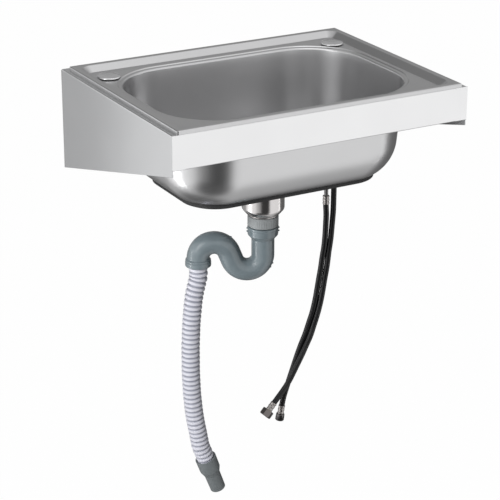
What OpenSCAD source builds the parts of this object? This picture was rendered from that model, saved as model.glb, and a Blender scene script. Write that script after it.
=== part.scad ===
// Wall-hung utility sink: a pressed steel basin in a folded bracket, with its
// strainer, swivel trap, ribbed waste hose and two supply hoses.
// The origin is the centre of the wall bolts, on the wall. X runs along the
// wall, Y points into it and Z is up, in millimetres.

/* [Deck] */
// Width of the sink deck along the wall
deck_w = 550; // [520:5:640]
// Depth of the sink deck from back to front
deck_d = 420; // [400:5:480]
// Thickness of the pressed sink sheet
sheet_t = 1; // [0.7:0.1:1.4]
// Height of the folded rim
rim_h = 6.5; // [5:0.5:8]
// Width of the flat rim top
rim_flat = 12.5; // [11:0.5:16]
// Width of the sloping step inside the rim
step_run = 12.5; // [10:0.5:14]
// Drop from the rim top to the deck floor
step_drop = 10; // [8:0.5:13]
// Length of the open notch in the fold at each front corner
notch_l = 3; // [1:0.5:6]

/* [Bowl] */
// Width of the flat deck between the step and the ledge at the sides
side_land = 5.5; // [4:0.5:20]
// Width of the flat deck between the step and the ledge at the back
back_land = 15.5; // [12:0.5:25]
// Width of the flat deck between the step and the ledge at the front
front_land = 10.5; // [4:0.5:20]
// Drop from the rim top to the bowl floor
bowl_drop = 188; // [160:1:200]
// Lean of the bowl wall from upright, in degrees
wall_lean = 5.4; // [3:0.2:8]
// Radius between the bowl wall and its floor
floor_r = 74; // [50:1:80]
// Radius of the rolled bowl lip
lip_r = 4; // [3:0.5:5]
// Width of the ledge round the lip
ledge_w = 3.5; // [2:0.5:5]
// Drop from the deck floor to the ledge
ledge_drop = 2; // [1:0.5:3]
// Width of the bare ring round the strainer flange
recess_ring = 3; // [2:0.5:5]
// Depth of the dish round the drain
recess_drop = 4; // [3:0.5:5]

/* [Bracket] */
// Thickness of the bracket sheet
bracket_t = 1.5; // [1:0.1:2]
// Distance from each side of the deck to the outside of the bracket
side_gap = 10; // [6:0.5:14]
// Distance from the back of the deck to the wall
wall_gap = 14; // [8:0.5:20]
// Height of the side panel at the front
side_front_h = 70; // [64:1:90]
// Height of the front apron
apron_h = 60; // [40:1:62]
// Width of the seat that the rim stands on, from the edge of the deck inward
seat_w = 13; // [8:0.5:14]
// Width of the fold along the foot of the apron
apron_fold = 12; // [8:1:16]
// Width of the side panel's flange on the wall
wall_flange_w = 34; // [28:1:40]
// Height of the back rail
rail_h = 42; // [36:1:60]
// Diameter of the wall bolt holes
bolt_d = 10; // [8:0.5:12]
// Distance from the bracket's outside to the bolt holes
bolt_inset = 17; // [14:0.5:20]
// Distance from the bracket's top to the upper bolt holes
bolt_drop = 25; // [18:1:30]
// Distance between the upper and the lower bolt holes
bolt_rise = 130; // [100:5:160]
// Distance from the lower bolt holes to the foot of the side panel
panel_foot = 30; // [15:1:50]
// Diameter of the rail's rivets
rivet_d = 4; // [3:0.2:5]

/* [Tap hole caps] */
// Distance from the step at the back to the cap
cap_setback = 19.5; // [8:0.5:24]
// Clearance of the stem in its hole
stem_gap = 2; // [0.5:0.5:3]
// Least distance between the washer under the deck and the bowl's ledge
washer_gap = 1.2; // [0.6:0.2:4]
// Diameter of the cap
cap_d = 43; // [41:0.5:48]
// Height of the cap's crown
cap_h = 4; // [3:0.5:6]
// Diameter of the cap's threaded stem
stem_d = 26; // [24:0.5:27]
// Length of the stem below the cap
stem_l = 34; // [28:1:44]
// Diameter of the stem's bore
stem_bore = 18; // [12:0.5:20]
// Thickness of the gasket under the cap
gasket_t = 1.5; // [1:0.5:3]
// Diameter of the gasket and of the washer under the deck
washer_d = 38; // [36:0.5:40]
// Thickness of the washer under the deck
washer_t = 3; // [2:0.5:4]
// Width of the stem's backnut across flats
backnut_af = 34; // [32:0.5:35]
// Height of the stem's backnut
backnut_h = 9; // [7:0.5:12]
// Wall of the manifold round the right-hand stem
manifold_wall = 3; // [2:0.5:5]
// Height of the manifold
manifold_h = 16; // [12:1:24]
// Distance between the manifold's two ports
port_gap = 13; // [12.5:0.1:14]
// Diameter of the tail pipes
tail_d = 8; // [6:0.5:9]
// Length of the long tail pipe below the manifold
tail_long = 257; // [220:1:280]
// Length of the short tail pipe below the manifold
tail_short = 60; // [40:2:80]

/* [Strainer] */
// Diameter of the strainer flange
strainer_d = 112; // [108:1:114]
// Thickness of the strainer sheet
strainer_t = 1.2; // [1:0.1:1.4]
// Thickness of the seal under the strainer flange
flange_seal_t = 1; // [0.8:0.1:1.4]
// Diameter of the strainer dish
dish_d = 71; // [68:0.5:71]
// Depth of the strainer dish
dish_depth = 34; // [30:1:40]
// Diameter of the drain holes in the dish
dish_hole_d = 8; // [6:0.5:9]
// Number of drain holes in the dish
dish_holes = 10; // [6:1:12]
// Wall of the strainer cup under the bowl
cup_wall = 1.5; // [1:0.1:2]
// Length of the straight part of the cup
cup_l = 51.5; // [48:0.5:64]
// Height of the taper at the foot of the cup
cup_taper = 11.5; // [9:0.5:16]
// Diameter of the flange on the cup
cup_flange_d = 100; // [96:1:108]
// Thickness of the gasket between the bowl and the cup
cup_gasket_t = 3; // [2:0.5:4]
// Outside diameter of the cup's threaded tail
tail_thread_d = 46; // [44:0.5:47]
// Length of the threaded tail
tail_thread_l = 11.5; // [10:0.5:16]
// Diameter of the strainer screw
screw_d = 8; // [6:0.5:8]
// Diameter of the strainer screw's head
screw_head_d = 16; // [13:0.5:18]
// Distance between the lift-out basket and the dish
basket_gap = 3; // [2:0.5:5]
// Height of the basket
basket_h = 25; // [20:1:27]
// Number of slots round the basket
basket_slots = 16; // [10:1:20]
// Diameter of the basket's knob
knob_d = 20; // [16:0.5:24]
// Thickness of the sound pad under the bowl
pad_t = 5.5; // [3:0.5:6]
// How far the pad climbs the bowl's floor radius, in degrees
pad_climb = 26; // [20:1:40]
// Thickness of the glue under the pad
pad_glue = 0.2; // [0.1:0.1:0.5]
// Distance between the pad and the dish round the drain
pad_gap = 3; // [2:0.5:8]

/* [Trap] */
// Wall of the union nut
nut_wall = 5; // [3:0.5:7]
// Outside diameter of the trap's pipe
pipe_d = 41; // [40:0.5:42]
// Wall of the trap's pipe
pipe_wall = 2.5; // [2:0.1:3]
// Height of the collar under the union nut
collar_h = 16; // [12:0.5:18]
// Height of the taper under the collar
collar_taper = 8; // [6:0.5:10]
// Length of straight pipe between the taper and the first bend
leg_l = 31.5; // [20:0.5:50]
// Radius of the trap's bends at the middle of the pipe
bend_r = 28.5; // [27:0.5:36]
// Lean of the leg between the bends, in degrees
leg_lean = 22; // [14:1:26]
// Length of the straight leg between the bends
mid_leg_l = 19; // [12:0.5:30]
// Turn of the trap towards the wall, in degrees
trap_turn = 25; // [0:1:40]
// Step from the pipe out to the outlet socket
socket_step = 2.75; // [2:0.25:5]
// Length of the outlet socket
socket_l = 15; // [12:0.5:20]

/* [Waste hose] */
// Diameter of the hose over its ribs
hose_d = 34; // [30:0.5:34.5]
// Depth of the grooves between the ribs
rib_depth = 2.4; // [1:0.1:3]
// Distance from one rib to the next
rib_pitch = 9.3; // [8:0.1:14]
// Wall of the hose at the foot of its grooves
hose_wall = 2.1; // [1:0.1:3]
// Wall of the cuff's mouth
cuff_wall = 3; // [2:0.5:5]
// Length of the cuff's wide part
cuff_wide_l = 28; // [24:1:36]
// Length of the cuff's taper
cuff_taper_l = 12; // [8:1:16]
// Length of the cuff's narrow spigot
cuff_spigot_l = 36; // [28:1:44]
// Outside diameter of the cuff's spigot
spigot_d = 29; // [27:0.5:32]
// Diameter of the cuff's through bore
spigot_bore = 22; // [18:0.5:23]

/* [Supply hoses] */
// Diameter of the braided supply hoses
supply_d = 11; // [9:0.5:11]
// Wall of the crimped ferrules
ferrule_wall = 1; // [0.6:0.1:1.2]
// Length of the crimped ferrules
ferrule_l = 17; // [12:1:24]
// Wall of the large swivel nut at its flats
big_nut_wall = 2.8; // [2:0.1:4]
// Height of the large swivel nut
big_nut_h = 14; // [13:0.5:20]
// Thread bore of the large swivel nut
big_nut_bore = 15; // [14:0.5:20]
// Wall of the small swivel nut at its flats
small_nut_wall = 1.2; // [1:0.1:2]
// Height of the small swivel nut
small_nut_h = 14; // [11:0.5:18]
// Thread bore of the small swivel nut
small_nut_bore = 12.6; // [12.6:0.1:13]

/* [Hidden] */

$fn = 96;
// Overrun of every cut
cut = 1;
// Clearance between pieces that move on each other
move_gap = 0.3;
// Clearance of a thread inside one assembly
thread_gap = 0.05;
// Share of the pipe radius that a mould flash fin stands out
flash_share = 0.12;
// Share of the cup's taper height that it draws in
foot_share = 0.7;
// Steps in the lip's arc and in the arcs between the bowl's wall and floor
lip_steps = 6;
floor_steps = 14;
pad_steps = 5;
// Growth of the trap's pipe at its bends, on the radius
bend_swell = 0.2;

steel = [0.74, 0.75, 0.76];
bright_steel = [0.82, 0.82, 0.84];
trap_grey = [0.45, 0.50, 0.52];
nut_grey = [0.53, 0.55, 0.56];
hose_white = [0.80, 0.80, 0.86];
cuff_grey = [0.41, 0.43, 0.44];
black_rubber = [0.10, 0.10, 0.11];
pad_black = [0.13, 0.13, 0.14];

bracket_w = deck_w + 2*side_gap;
bracket_d = deck_d + wall_gap;
bracket_top = bolt_drop + bolt_rise/2;
side_back_h = bolt_drop + bolt_rise + panel_foot;
rim_top = bracket_top + rim_h;
deck_y = -wall_gap - deck_d/2;
deck_floor = rim_top - step_drop;
ledge_top = deck_floor - ledge_drop;
bowl_floor = rim_top - bowl_drop;
recess_floor = bowl_floor - recess_drop;
drain_y = deck_y - (back_land - front_land)/2;
recess_d = strainer_d + 2*recess_ring;
pad_hole_d = recess_d + 2*recess_drop + 2*pad_gap;
foot_w = deck_w - 2*(rim_flat + step_run);
foot_d = deck_d - 2*(rim_flat + step_run);
step_angle = atan(step_drop/step_run);
step_bend = sheet_t*tan(step_angle/2);

// Outline of the ledge in plan, which the bowl's section sweeps round. Its
// corners are rounded far enough to clear the washers under the tap holes.
ledge_w_out = foot_w - 2*side_land;
ledge_d_out = foot_d - back_land - front_land;
tap_x = foot_w/2 - cap_d/2;
tap_y = -wall_gap - rim_flat - step_run - cap_setback - cap_d/2;
tap_in_x = ledge_w_out/2 - tap_x;
tap_in_y = drain_y + ledge_d_out/2 - tap_y;
tap_reach = washer_d/2 + washer_gap;
tap_sum = tap_in_x + tap_in_y + tap_reach;
tap_rest = tap_in_x*tap_in_x + tap_in_y*tap_in_y - tap_reach*tap_reach;
ledge_r = ceil(tap_sum + sqrt(tap_sum*tap_sum - tap_rest));

// Section of the bowl, measured outward from the mouth and up
lip_z = ledge_top - lip_r;
lip_x = lip_r*cos(wall_lean);
wall_top_z = lip_z + lip_r*sin(wall_lean);
turn_z = bowl_floor + floor_r;
wall_foot_z = turn_z - floor_r*sin(wall_lean);
wall_l = (wall_top_z - wall_foot_z)/cos(wall_lean);
wall_foot_x = -wall_l*sin(wall_lean);
turn_x = wall_foot_x - floor_r*cos(wall_lean);
ledge_out = lip_x + ledge_w;
ledge_rim = ledge_out + ledge_drop;
flat_w = ledge_w_out - 2*ledge_rim + 2*turn_x;
flat_d = ledge_d_out - 2*ledge_rim + 2*turn_x;
flat_r = ledge_r - ledge_rim + turn_x;

rail_top = bracket_top;
bolt_x = bracket_w/2 - bolt_inset;
rivet_x = bracket_w/2 - wall_flange_w + rivet_d*1.5;
rivet_z = rail_top - rail_h/2;

tap_hole_d = stem_d + 2*stem_gap;
manifold_d = stem_d + 2*manifold_wall;
cap_z = deck_floor + gasket_t;
stem_end = cap_z - stem_l;
washer_z = deck_floor - sheet_t - washer_t;
backnut_z = washer_z - backnut_h;
manifold_z = stem_end - manifold_h + stem_d/4;
port_z = manifold_z;

seal_z = recess_floor;
flange_z = seal_z + flange_seal_t;
dish_floor = flange_z - dish_depth;
drain_hole_d = dish_d + 2*strainer_t;
cup_gasket_z = recess_floor - sheet_t - cup_gasket_t;
cup_top = cup_gasket_z;
cup_foot = cup_top - cup_l;
cup_neck = cup_foot - cup_taper;
cup_d = dish_d + 2*(strainer_t + move_gap + cup_wall);
foot_r = cup_d/2 - cup_taper*foot_share;
tail_end = cup_neck - tail_thread_l;
tail_bore = tail_thread_d - 4*cup_wall;
bridge_h = cup_taper/3;
bridge_w = screw_d*1.5;
bridge_z = cup_foot + bridge_h/2;
screw_top = dish_floor + strainer_t;
basket_z = screw_top + screw_d/2 + move_gap;
basket_t = strainer_t;
basket_d = dish_d - 2*basket_gap;

nut_d = tail_thread_d + 2*nut_wall;
pipe_r = pipe_d/2;
trap_bore = pipe_d - 2*pipe_wall;
nut_lip = pipe_wall + move_gap;
trap_washer_t = pipe_wall;
trap_flange_t = pipe_wall;
trap_top = tail_end - move_gap - trap_washer_t;
trap_flange_d = tail_thread_d - 2*move_gap;
nut_lip_top = trap_top - trap_flange_t - move_gap;
nut_z = nut_lip_top - nut_lip;
nut_h = cup_neck - move_gap - nut_z;
collar_top = nut_z - pipe_wall/2;
collar_d = nut_d;
collar_z = collar_top - collar_h;
pipe_top = collar_z - collar_taper;
bend_z = pipe_top - leg_l;
bend_sweep = 180 - leg_lean;
leg_x = -bend_r - bend_r*cos(leg_lean);
leg_z = bend_z - bend_r*sin(leg_lean);
leg_end_x = leg_x - mid_leg_l*sin(leg_lean);
leg_end_z = leg_z + mid_leg_l*cos(leg_lean);
crown_x = leg_end_x - bend_r*cos(leg_lean);
crown_z = leg_end_z - bend_r*sin(leg_lean);
outlet_x = crown_x - bend_r;
socket_d = pipe_d + 2*socket_step;
socket_end = crown_z - socket_l;
socket_bore = hose_d + 2*pipe_wall/2 + 2*move_gap;
hose_start = crown_z - pipe_wall;
hose_bore = hose_d - 2*rib_depth - 2*hose_wall;
cuff_d = hose_d + 2*cuff_wall;
outlet = [outlet_x*cos(trap_turn), drain_y - outlet_x*sin(trap_turn), hose_start];

// Middle line of the waste hose, from its seat in the outlet socket
drain_route = [[0, 0, 0], [0, 0, -17], [0, 0, -34], [-4, 0, -50], [-8, 0, -66],
  [-11, 0, -84], [-13, 0, -104], [-15, 0, -124], [-16, 0, -146], [-17, 0, -170],
  [-17, 0, -195], [-17, 0, -220], [-16, 0, -244], [-15, 0, -266], [-13, 0, -286],
  [-11, 0, -305], [-8, 0, -325], [-4, 0, -346], [-1, 0, -362], [2, 0, -378],
  [8, 0, -394], [14, 0, -411], [17, 0, -419]];
// Middle line of the small-nut supply hose, from the end of the long tail pipe
small_route = [[0, 0, 0], [0, 0, -20], [1, 0, -40], [1, 1, -62], [0, 1, -84],
  [-2, 1, -106], [-5, 2, -128], [-8, 2, -150], [-12, 2, -172], [-15, 3, -194],
  [-19, 3, -216], [-25, 3, -240], [-32, 4, -262], [-40, 4, -284], [-49, 5, -306],
  [-57, 6, -328], [-65, 6, -350], [-73, 6, -372], [-80, 6, -392], [-86, 6, -410],
  [-90, 6, -428], [-93, 6, -445]];
// Middle line of the large-nut supply hose, from the end of the short tail pipe
large_route = [[0, 0, 0], [0, 0, -20], [0, 0, -40], [1, 0, -64], [2, 0, -90],
  [3, 0, -118], [3, 0, -146], [4, 0, -174], [4, 0, -202], [3, -1, -230],
  [1, -1, -258], [-2, -2, -286], [-6, -2, -314], [-10, -3, -342], [-15, -3, -370],
  [-20, -4, -396], [-25, -4, -420], [-32, -5, -442], [-39, -5, -462], [-47, -6, -482],
  [-56, -6, -500], [-66, -7, -518], [-75, -7, -534], [-84, -7, -550], [-92, -7, -564],
  [-101, -7, -577], [-110, -7, -588], [-120, -7, -599], [-130, -7, -610], [-140, -7, -621]];

small_exit = [tap_x - port_gap/2, tap_y, port_z - tail_long];
large_exit = [tap_x + port_gap/2, tap_y, port_z - tail_short];
tube_sides = 8;
ferrule_d = supply_d + 2*ferrule_wall;
// Share of a swivel nut's wall that the well for the nipple is relieved by
well_share = 0.4;

function unit(v) = v/norm(v);
// Points of an arc between two angles
function arc(centre, r, from, to, steps) =
  [for (i = [0:steps]) let (a = from + (to - from)*i/steps) centre + r*[cos(a), sin(a)]];
// Catmull-Rom blend of four points
function blend(a, b, c, d, t) =
  0.5*((2*b) + (c - a)*t + (2*a - 5*b + 4*c - d)*t*t + (3*b - a - 3*c + d)*t*t*t);
// Point at step s along a route, where s counts the route's points
function spot(route, s) =
  let (n = len(route) - 1, i = min(floor(s), n - 1), t = s - i)
  blend(route[max(i - 1, 0)], route[i], route[i + 1], route[min(i + 2, n)], t);
function heading(route, s) =
  let (n = len(route) - 1, e = 0.02)
  unit(spot(route, min(s + e, n)) - spot(route, max(s - e, 0)));
// Ring of points round a place on a route
function ring(route, s, r) =
  let (c = spot(route, s), h = heading(route, s), u = unit(cross(h, [0, 1, 0])), v = cross(h, u))
  [for (k = [0:tube_sides - 1]) let (a = 360*k/tube_sides) c + r*(cos(a)*u + sin(a)*v)];
function flat_list(lists) = [for (l = lists) for (p = l) p];
// Triangles between neighbouring rings whose first point has the given index
function skin(first, rings) = [for (j = [0:rings - 2]) for (k = [0:tube_sides - 1])
  let (a = first + j*tube_sides + k, b = first + j*tube_sides + (k + 1) % tube_sides)
  each [[a, a + tube_sides, b], [b, a + tube_sides, b + tube_sides]]];
function flipped(faces) = [for (f = faces) [f[2], f[1], f[0]]];
function last(list) = list[len(list) - 1];
// Distance along a route at each eighth of a step
function travel(route) =
  let (steps = 8*(len(route) - 1), pts = [for (i = [0:steps]) spot(route, i/8)])
  [for (i = 0, far = 0; i <= steps;
    far = far + (i < steps ? norm(pts[i + 1] - pts[i]) : 0), i = i + 1) far];
// Step along a route that lies a given distance from its start
function step_at(run, far) =
  let (i = min(len([for (r = run) if (r <= far) r]), len(run) - 1) - 1)
  (i + (far - run[i])/(run[i + 1] - run[i]))/8;

// Rounded rectangle in plan with true arcs at its corners
module plan(w, d, r) {
  square([w - 2*r, d], center = true);
  square([w, d - 2*r], center = true);
  for (x = [-1, 1], y = [-1, 1]) translate([x*(w/2 - r), y*(d/2 - r)]) circle(r);
}

// Sweeps a section round a rounded rectangle. The section's x points outward.
module around(w, d, r) {
  for (i = [0:3]) {
    a = (i % 2 == 0 ? w : d)/2 - r;
    b = (i % 2 == 0 ? d : w)/2 - r;
    rotate([0, 0, 90*i]) {
      translate([a, b, 0]) rotate_extrude(angle = 90) translate([r, 0]) children();
      translate([-a, b + r, 0]) rotate([90, 0, 90]) linear_extrude(2*a) children();
    }
  }
}

// Sweeps a section round a sharp rectangle with mitred corners
module mitred(w, d, reach, h) {
  for (i = [0:3]) {
    a = (i % 2 == 0 ? w : d)/2;
    b = (i % 2 == 0 ? d : w)/2;
    rotate([0, 0, 90*i]) intersection() {
      translate([-a - reach, b, 0]) rotate([90, 0, 90]) linear_extrude(2*(a + reach)) children();
      translate([0, 0, -h]) linear_extrude(2*h) polygon([[-a - reach, b + reach],
        [a + reach, b + reach], [a - reach, b - reach], [-a + reach, b - reach]]);
    }
  }
}

// Stands children on a point of a route, looking along it
module on_route(exit, route, s) {
  h = heading(route, s);
  translate(exit + spot(route, s)) rotate([0, acos(h.z), atan2(h.y, h.x)]) children();
}

module hex_nut(af, h) {
  cylinder(h = h, d = af/cos(30), $fn = 6);
}

module rod(route, r) {
  steps = len(route) - 1;
  rings = [for (s = [0:steps]) ring(route, s, r)];
  pts = flat_list(rings);
  foot = steps*tube_sides;
  polyhedron(pts, concat(skin(0, steps + 1),
    [[for (k = [0:tube_sides - 1]) k]],
    [[for (k = [tube_sides - 1:-1:0]) foot + k]]));
}

// Section of the bowl sheet from the deck floor to the flat of the bowl. Its
// upper face runs inward, and its under face runs back out.
module bowl_section() {
  run = sheet_t;
  polygon(concat(
    [[ledge_rim + run, deck_floor], [ledge_rim, deck_floor], [ledge_out, ledge_top]],
    arc([lip_x, lip_z], lip_r, 90, 180 - wall_lean, lip_steps),
    arc([turn_x, turn_z], floor_r, 360 - wall_lean, 270, floor_steps),
    [[turn_x - run, bowl_floor], [turn_x - run, bowl_floor - sheet_t]],
    arc([turn_x, turn_z], floor_r + sheet_t, 270, 360 - wall_lean, floor_steps),
    arc([lip_x, lip_z], lip_r - sheet_t, 180 - wall_lean, 90, lip_steps),
    [[ledge_out, ledge_top - sheet_t], [ledge_rim, deck_floor - sheet_t],
     [ledge_rim + run, deck_floor - sheet_t]]));
}

module step_section() {
  polygon([[0, rim_top], [-step_run, deck_floor], [-step_run, deck_floor - sheet_t],
    [step_bend - step_run, deck_floor - sheet_t], [step_bend, rim_top - sheet_t]]);
}

module rim() {
  difference() {
    translate([0, deck_y, rim_top - rim_h]) linear_extrude(rim_h) square([deck_w, deck_d], center = true);
    translate([0, deck_y, rim_top - rim_h - cut]) linear_extrude(rim_h + cut - sheet_t)
      square([deck_w - 2*sheet_t, deck_d - 2*sheet_t], center = true);
    translate([0, deck_y, rim_top - rim_h]) linear_extrude(rim_h + cut)
      square([deck_w - 2*rim_flat, deck_d - 2*rim_flat], center = true);
    for (x = [-1, 1]) translate([x*deck_w/2, deck_y - deck_d/2, rim_top - rim_h - cut])
      linear_extrude(rim_h + cut - sheet_t) square(2*notch_l, center = true);
  }
}

module deck_plate() {
  translate([0, 0, deck_floor - sheet_t]) linear_extrude(sheet_t) difference() {
    translate([0, deck_y]) square([foot_w, foot_d], center = true);
    translate([0, drain_y]) plan(ledge_w_out, ledge_d_out, ledge_r);
    for (x = [-1, 1]) translate([x*tap_x, tap_y]) circle(d = tap_hole_d);
  }
}

module bowl_bottom() {
  translate([0, drain_y, bowl_floor - sheet_t]) linear_extrude(sheet_t) difference() {
    plan(flat_w, flat_d, flat_r);
    circle(d = recess_d + 2*recess_drop);
  }
  translate([0, drain_y, 0]) rotate_extrude() polygon([
    [drain_hole_d/2, recess_floor], [recess_d/2, recess_floor],
    [recess_d/2 + recess_drop, bowl_floor], [recess_d/2 + recess_drop, bowl_floor - sheet_t],
    [recess_d/2, recess_floor - sheet_t], [drain_hole_d/2, recess_floor - sheet_t]]);
}

module sink_basin() {
  color(steel) union() {
    rim();
    translate([0, deck_y, 0])
      mitred(deck_w - 2*rim_flat, deck_d - 2*rim_flat, step_run, bracket_d) step_section();
    deck_plate();
    translate([0, drain_y, 0]) around(ledge_w_out, ledge_d_out, ledge_r)
      translate([-ledge_rim, 0]) bowl_section();
    bowl_bottom();
  }
}

module sound_pad() {
  under = floor_r + sheet_t + pad_glue;
  top = turn_z - under;
  edge = 270 + pad_climb;
  color(pad_black) translate([0, drain_y, 0]) difference() {
    union() {
      around(ledge_w_out, ledge_d_out, ledge_r) translate([-ledge_rim, 0]) polygon(concat(
        [[turn_x - pad_t, top]],
        arc([turn_x, turn_z], under, 270, edge, pad_steps),
        arc([turn_x, turn_z], under + pad_t, edge, 270, pad_steps),
        [[turn_x - pad_t, top - pad_t]]));
      translate([0, 0, top - pad_t]) linear_extrude(pad_t) plan(flat_w, flat_d, flat_r);
    }
    translate([0, 0, top - pad_t - cut]) cylinder(h = floor_r, d = pad_hole_d);
  }
}

// The right-hand panel: web, seat flange on top and flange on the wall
module side_panel() {
  low_front = bracket_top - side_front_h;
  low_back = bracket_top - side_back_h;
  outer = bracket_w/2;
  translate([outer - bracket_t, 0, 0]) rotate([90, 0, 90]) linear_extrude(bracket_t)
    polygon([[0, low_back], [0, bracket_top], [-bracket_d, bracket_top], [-bracket_d, low_front]]);
  translate([outer - side_gap - seat_w, -bracket_d, bracket_top - bracket_t])
    cube([side_gap + seat_w, bracket_d - 2*bracket_t, bracket_t]);
  difference() {
    translate([outer - wall_flange_w, -bracket_t, low_back])
      cube([wall_flange_w, bracket_t, side_back_h]);
    for (z = [-1, 1]) translate([bolt_x, cut, z*bolt_rise/2])
      rotate([90, 0, 0]) cylinder(h = bracket_t + 2*cut, d = bolt_d);
    translate([rivet_x, cut, rivet_z]) rotate([90, 0, 0]) cylinder(h = bracket_t + 2*cut, d = rivet_d);
  }
}

module right_side_panel() {
  color(steel) side_panel();
}

module left_side_panel() {
  color(steel) mirror([1, 0, 0]) side_panel();
}

module front_apron() {
  inner = bracket_w - 2*bracket_t;
  front = -bracket_d - bracket_t;
  low = bracket_top - apron_h;
  color(bright_steel) union() {
    translate([-bracket_w/2, front, low]) cube([bracket_w, bracket_t, apron_h]);
    translate([-bracket_w/2 + side_gap + seat_w, front, bracket_top - bracket_t])
      cube([bracket_w - 2*(side_gap + seat_w), bracket_t + seat_w, bracket_t]);
    translate([-inner/2, front, low]) cube([inner, bracket_t + apron_fold, bracket_t]);
  }
}

module back_rail() {
  inner = bracket_w - 2*bracket_t;
  color(steel) difference() {
    union() {
      translate([-inner/2, -2*bracket_t, rail_top - rail_h]) cube([inner, bracket_t, rail_h - bracket_t]);
      translate([-bracket_w/2 + side_gap + seat_w, -wall_gap - seat_w, rail_top - bracket_t])
        cube([bracket_w - 2*(side_gap + seat_w), wall_gap + seat_w - bracket_t, bracket_t]);
    }
    for (x = [-1, 1]) {
      translate([x*bolt_x, cut, bolt_rise/2]) rotate([90, 0, 0])
        cylinder(h = 2*bracket_t + 2*cut, d = bolt_d);
      translate([x*rivet_x, cut, rivet_z]) rotate([90, 0, 0])
        cylinder(h = 2*bracket_t + 2*cut, d = rivet_d);
    }
  }
}

module rail_rivets() {
  head_t = rivet_d/4;
  color(bright_steel) for (x = [-1, 1]) translate([x*rivet_x, 0, rivet_z]) rotate([90, 0, 0]) {
    cylinder(h = 2*bracket_t, d = rivet_d);
    translate([0, 0, 2*bracket_t]) cylinder(h = head_t, d1 = 2*rivet_d, d2 = rivet_d);
  }
}

module tap_cap() {
  // Crown of the cap is a shallow dome cut from a sphere
  edge_t = cap_h/3;
  rise = cap_h - edge_t;
  dome_r = ((cap_d/2)*(cap_d/2) + rise*rise)/(2*rise);
  translate([0, 0, cap_z]) {
    cylinder(h = edge_t, d = cap_d);
    intersection() {
      translate([0, 0, cap_h - dome_r]) sphere(dome_r);
      translate([0, 0, edge_t]) cylinder(h = cap_h, d = cap_d);
    }
  }
  difference() {
    translate([0, 0, stem_end]) cylinder(h = stem_l, d = stem_d);
    translate([0, 0, stem_end - cut]) cylinder(h = stem_l + cut - cap_h, d = stem_bore);
  }
}

module cap_gasket() {
  translate([0, 0, deck_floor]) difference() {
    cylinder(h = gasket_t, d = washer_d);
    translate([0, 0, -cut]) cylinder(h = gasket_t + 2*cut, d = stem_d + 2*thread_gap);
  }
}

module deck_washer() {
  translate([0, 0, washer_z]) difference() {
    cylinder(h = washer_t, d = washer_d);
    translate([0, 0, -cut]) cylinder(h = washer_t + 2*cut, d = stem_d + 2*thread_gap);
  }
}

module backnut() {
  translate([0, 0, backnut_z]) difference() {
    hex_nut(backnut_af, backnut_h);
    translate([0, 0, -cut]) cylinder(h = backnut_h + 2*cut, d = stem_d + 2*thread_gap);
  }
}

module left_tap_cap() {
  color(bright_steel) translate([-tap_x, tap_y, 0]) tap_cap();
}

module left_cap_gasket() {
  color(black_rubber) translate([-tap_x, tap_y, 0]) cap_gasket();
}

module left_deck_washer() {
  color(black_rubber) translate([-tap_x, tap_y, 0]) deck_washer();
}

module left_backnut() {
  color(cuff_grey) translate([-tap_x, tap_y, 0]) backnut();
}

module right_tap_cap() {
  color(bright_steel) translate([tap_x, tap_y, 0]) tap_cap();
}

module right_cap_gasket() {
  color(black_rubber) translate([tap_x, tap_y, 0]) cap_gasket();
}

module right_deck_washer() {
  color(black_rubber) translate([tap_x, tap_y, 0]) deck_washer();
}

module right_backnut() {
  color(cuff_grey) translate([tap_x, tap_y, 0]) backnut();
}

// Blind cup screwed on the stem, with a port for each supply hose
module supply_manifold() {
  floor_t = manifold_h/2;
  color(bright_steel) translate([tap_x, tap_y, manifold_z]) difference() {
    cylinder(h = manifold_h, d = manifold_d);
    translate([0, 0, stem_end - manifold_z]) cylinder(h = manifold_h, d = stem_d + 2*thread_gap);
    translate([0, 0, floor_t]) cylinder(h = manifold_h, d = stem_bore);
    for (x = [-1, 1]) translate([x*port_gap/2, 0, -cut])
      cylinder(h = manifold_h, d = tail_d + 2*thread_gap);
  }
}

module tail_pipe(x, length) {
  wall = tail_d/8;
  translate([tap_x + x*port_gap/2, tap_y, port_z - length]) difference() {
    cylinder(h = length + manifold_h/2, d = tail_d);
    translate([0, 0, -cut]) cylinder(h = length + manifold_h/2 + 2*cut, d = tail_d - 2*wall);
  }
}

module long_tail_pipe() {
  color(bright_steel) tail_pipe(-1, tail_long);
}

module short_tail_pipe() {
  color(bright_steel) tail_pipe(1, tail_short);
}

module strainer_flange() {
  dish_r = dish_d/2;
  hole_ring = (screw_head_d/2 + dish_r)/2;
  color(bright_steel) translate([0, drain_y, 0]) difference() {
    rotate_extrude() polygon([[0, dish_floor], [dish_r + strainer_t, dish_floor],
      [dish_r + strainer_t, flange_z], [strainer_d/2, flange_z], [strainer_d/2, flange_z + strainer_t],
      [dish_r, flange_z + strainer_t], [dish_r, dish_floor + strainer_t], [0, dish_floor + strainer_t]]);
    translate([0, 0, dish_floor - cut]) cylinder(h = strainer_t + 2*cut, d = screw_d + 2*thread_gap);
    for (i = [0:dish_holes - 1]) rotate([0, 0, 360*i/dish_holes])
      translate([hole_ring, 0, dish_floor - cut]) cylinder(h = strainer_t + 2*cut, d = dish_hole_d);
  }
}

module flange_seal() {
  color(black_rubber) translate([0, drain_y, seal_z]) difference() {
    cylinder(h = flange_seal_t, d = strainer_d);
    translate([0, 0, -cut]) cylinder(h = flange_seal_t + 2*cut, d = drain_hole_d + 2*thread_gap);
  }
}

module cup_gasket() {
  color(black_rubber) translate([0, drain_y, cup_gasket_z]) difference() {
    cylinder(h = cup_gasket_t, d = cup_flange_d);
    translate([0, 0, -cut]) cylinder(h = cup_gasket_t + 2*cut, d = drain_hole_d + 2*thread_gap);
  }
}

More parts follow.
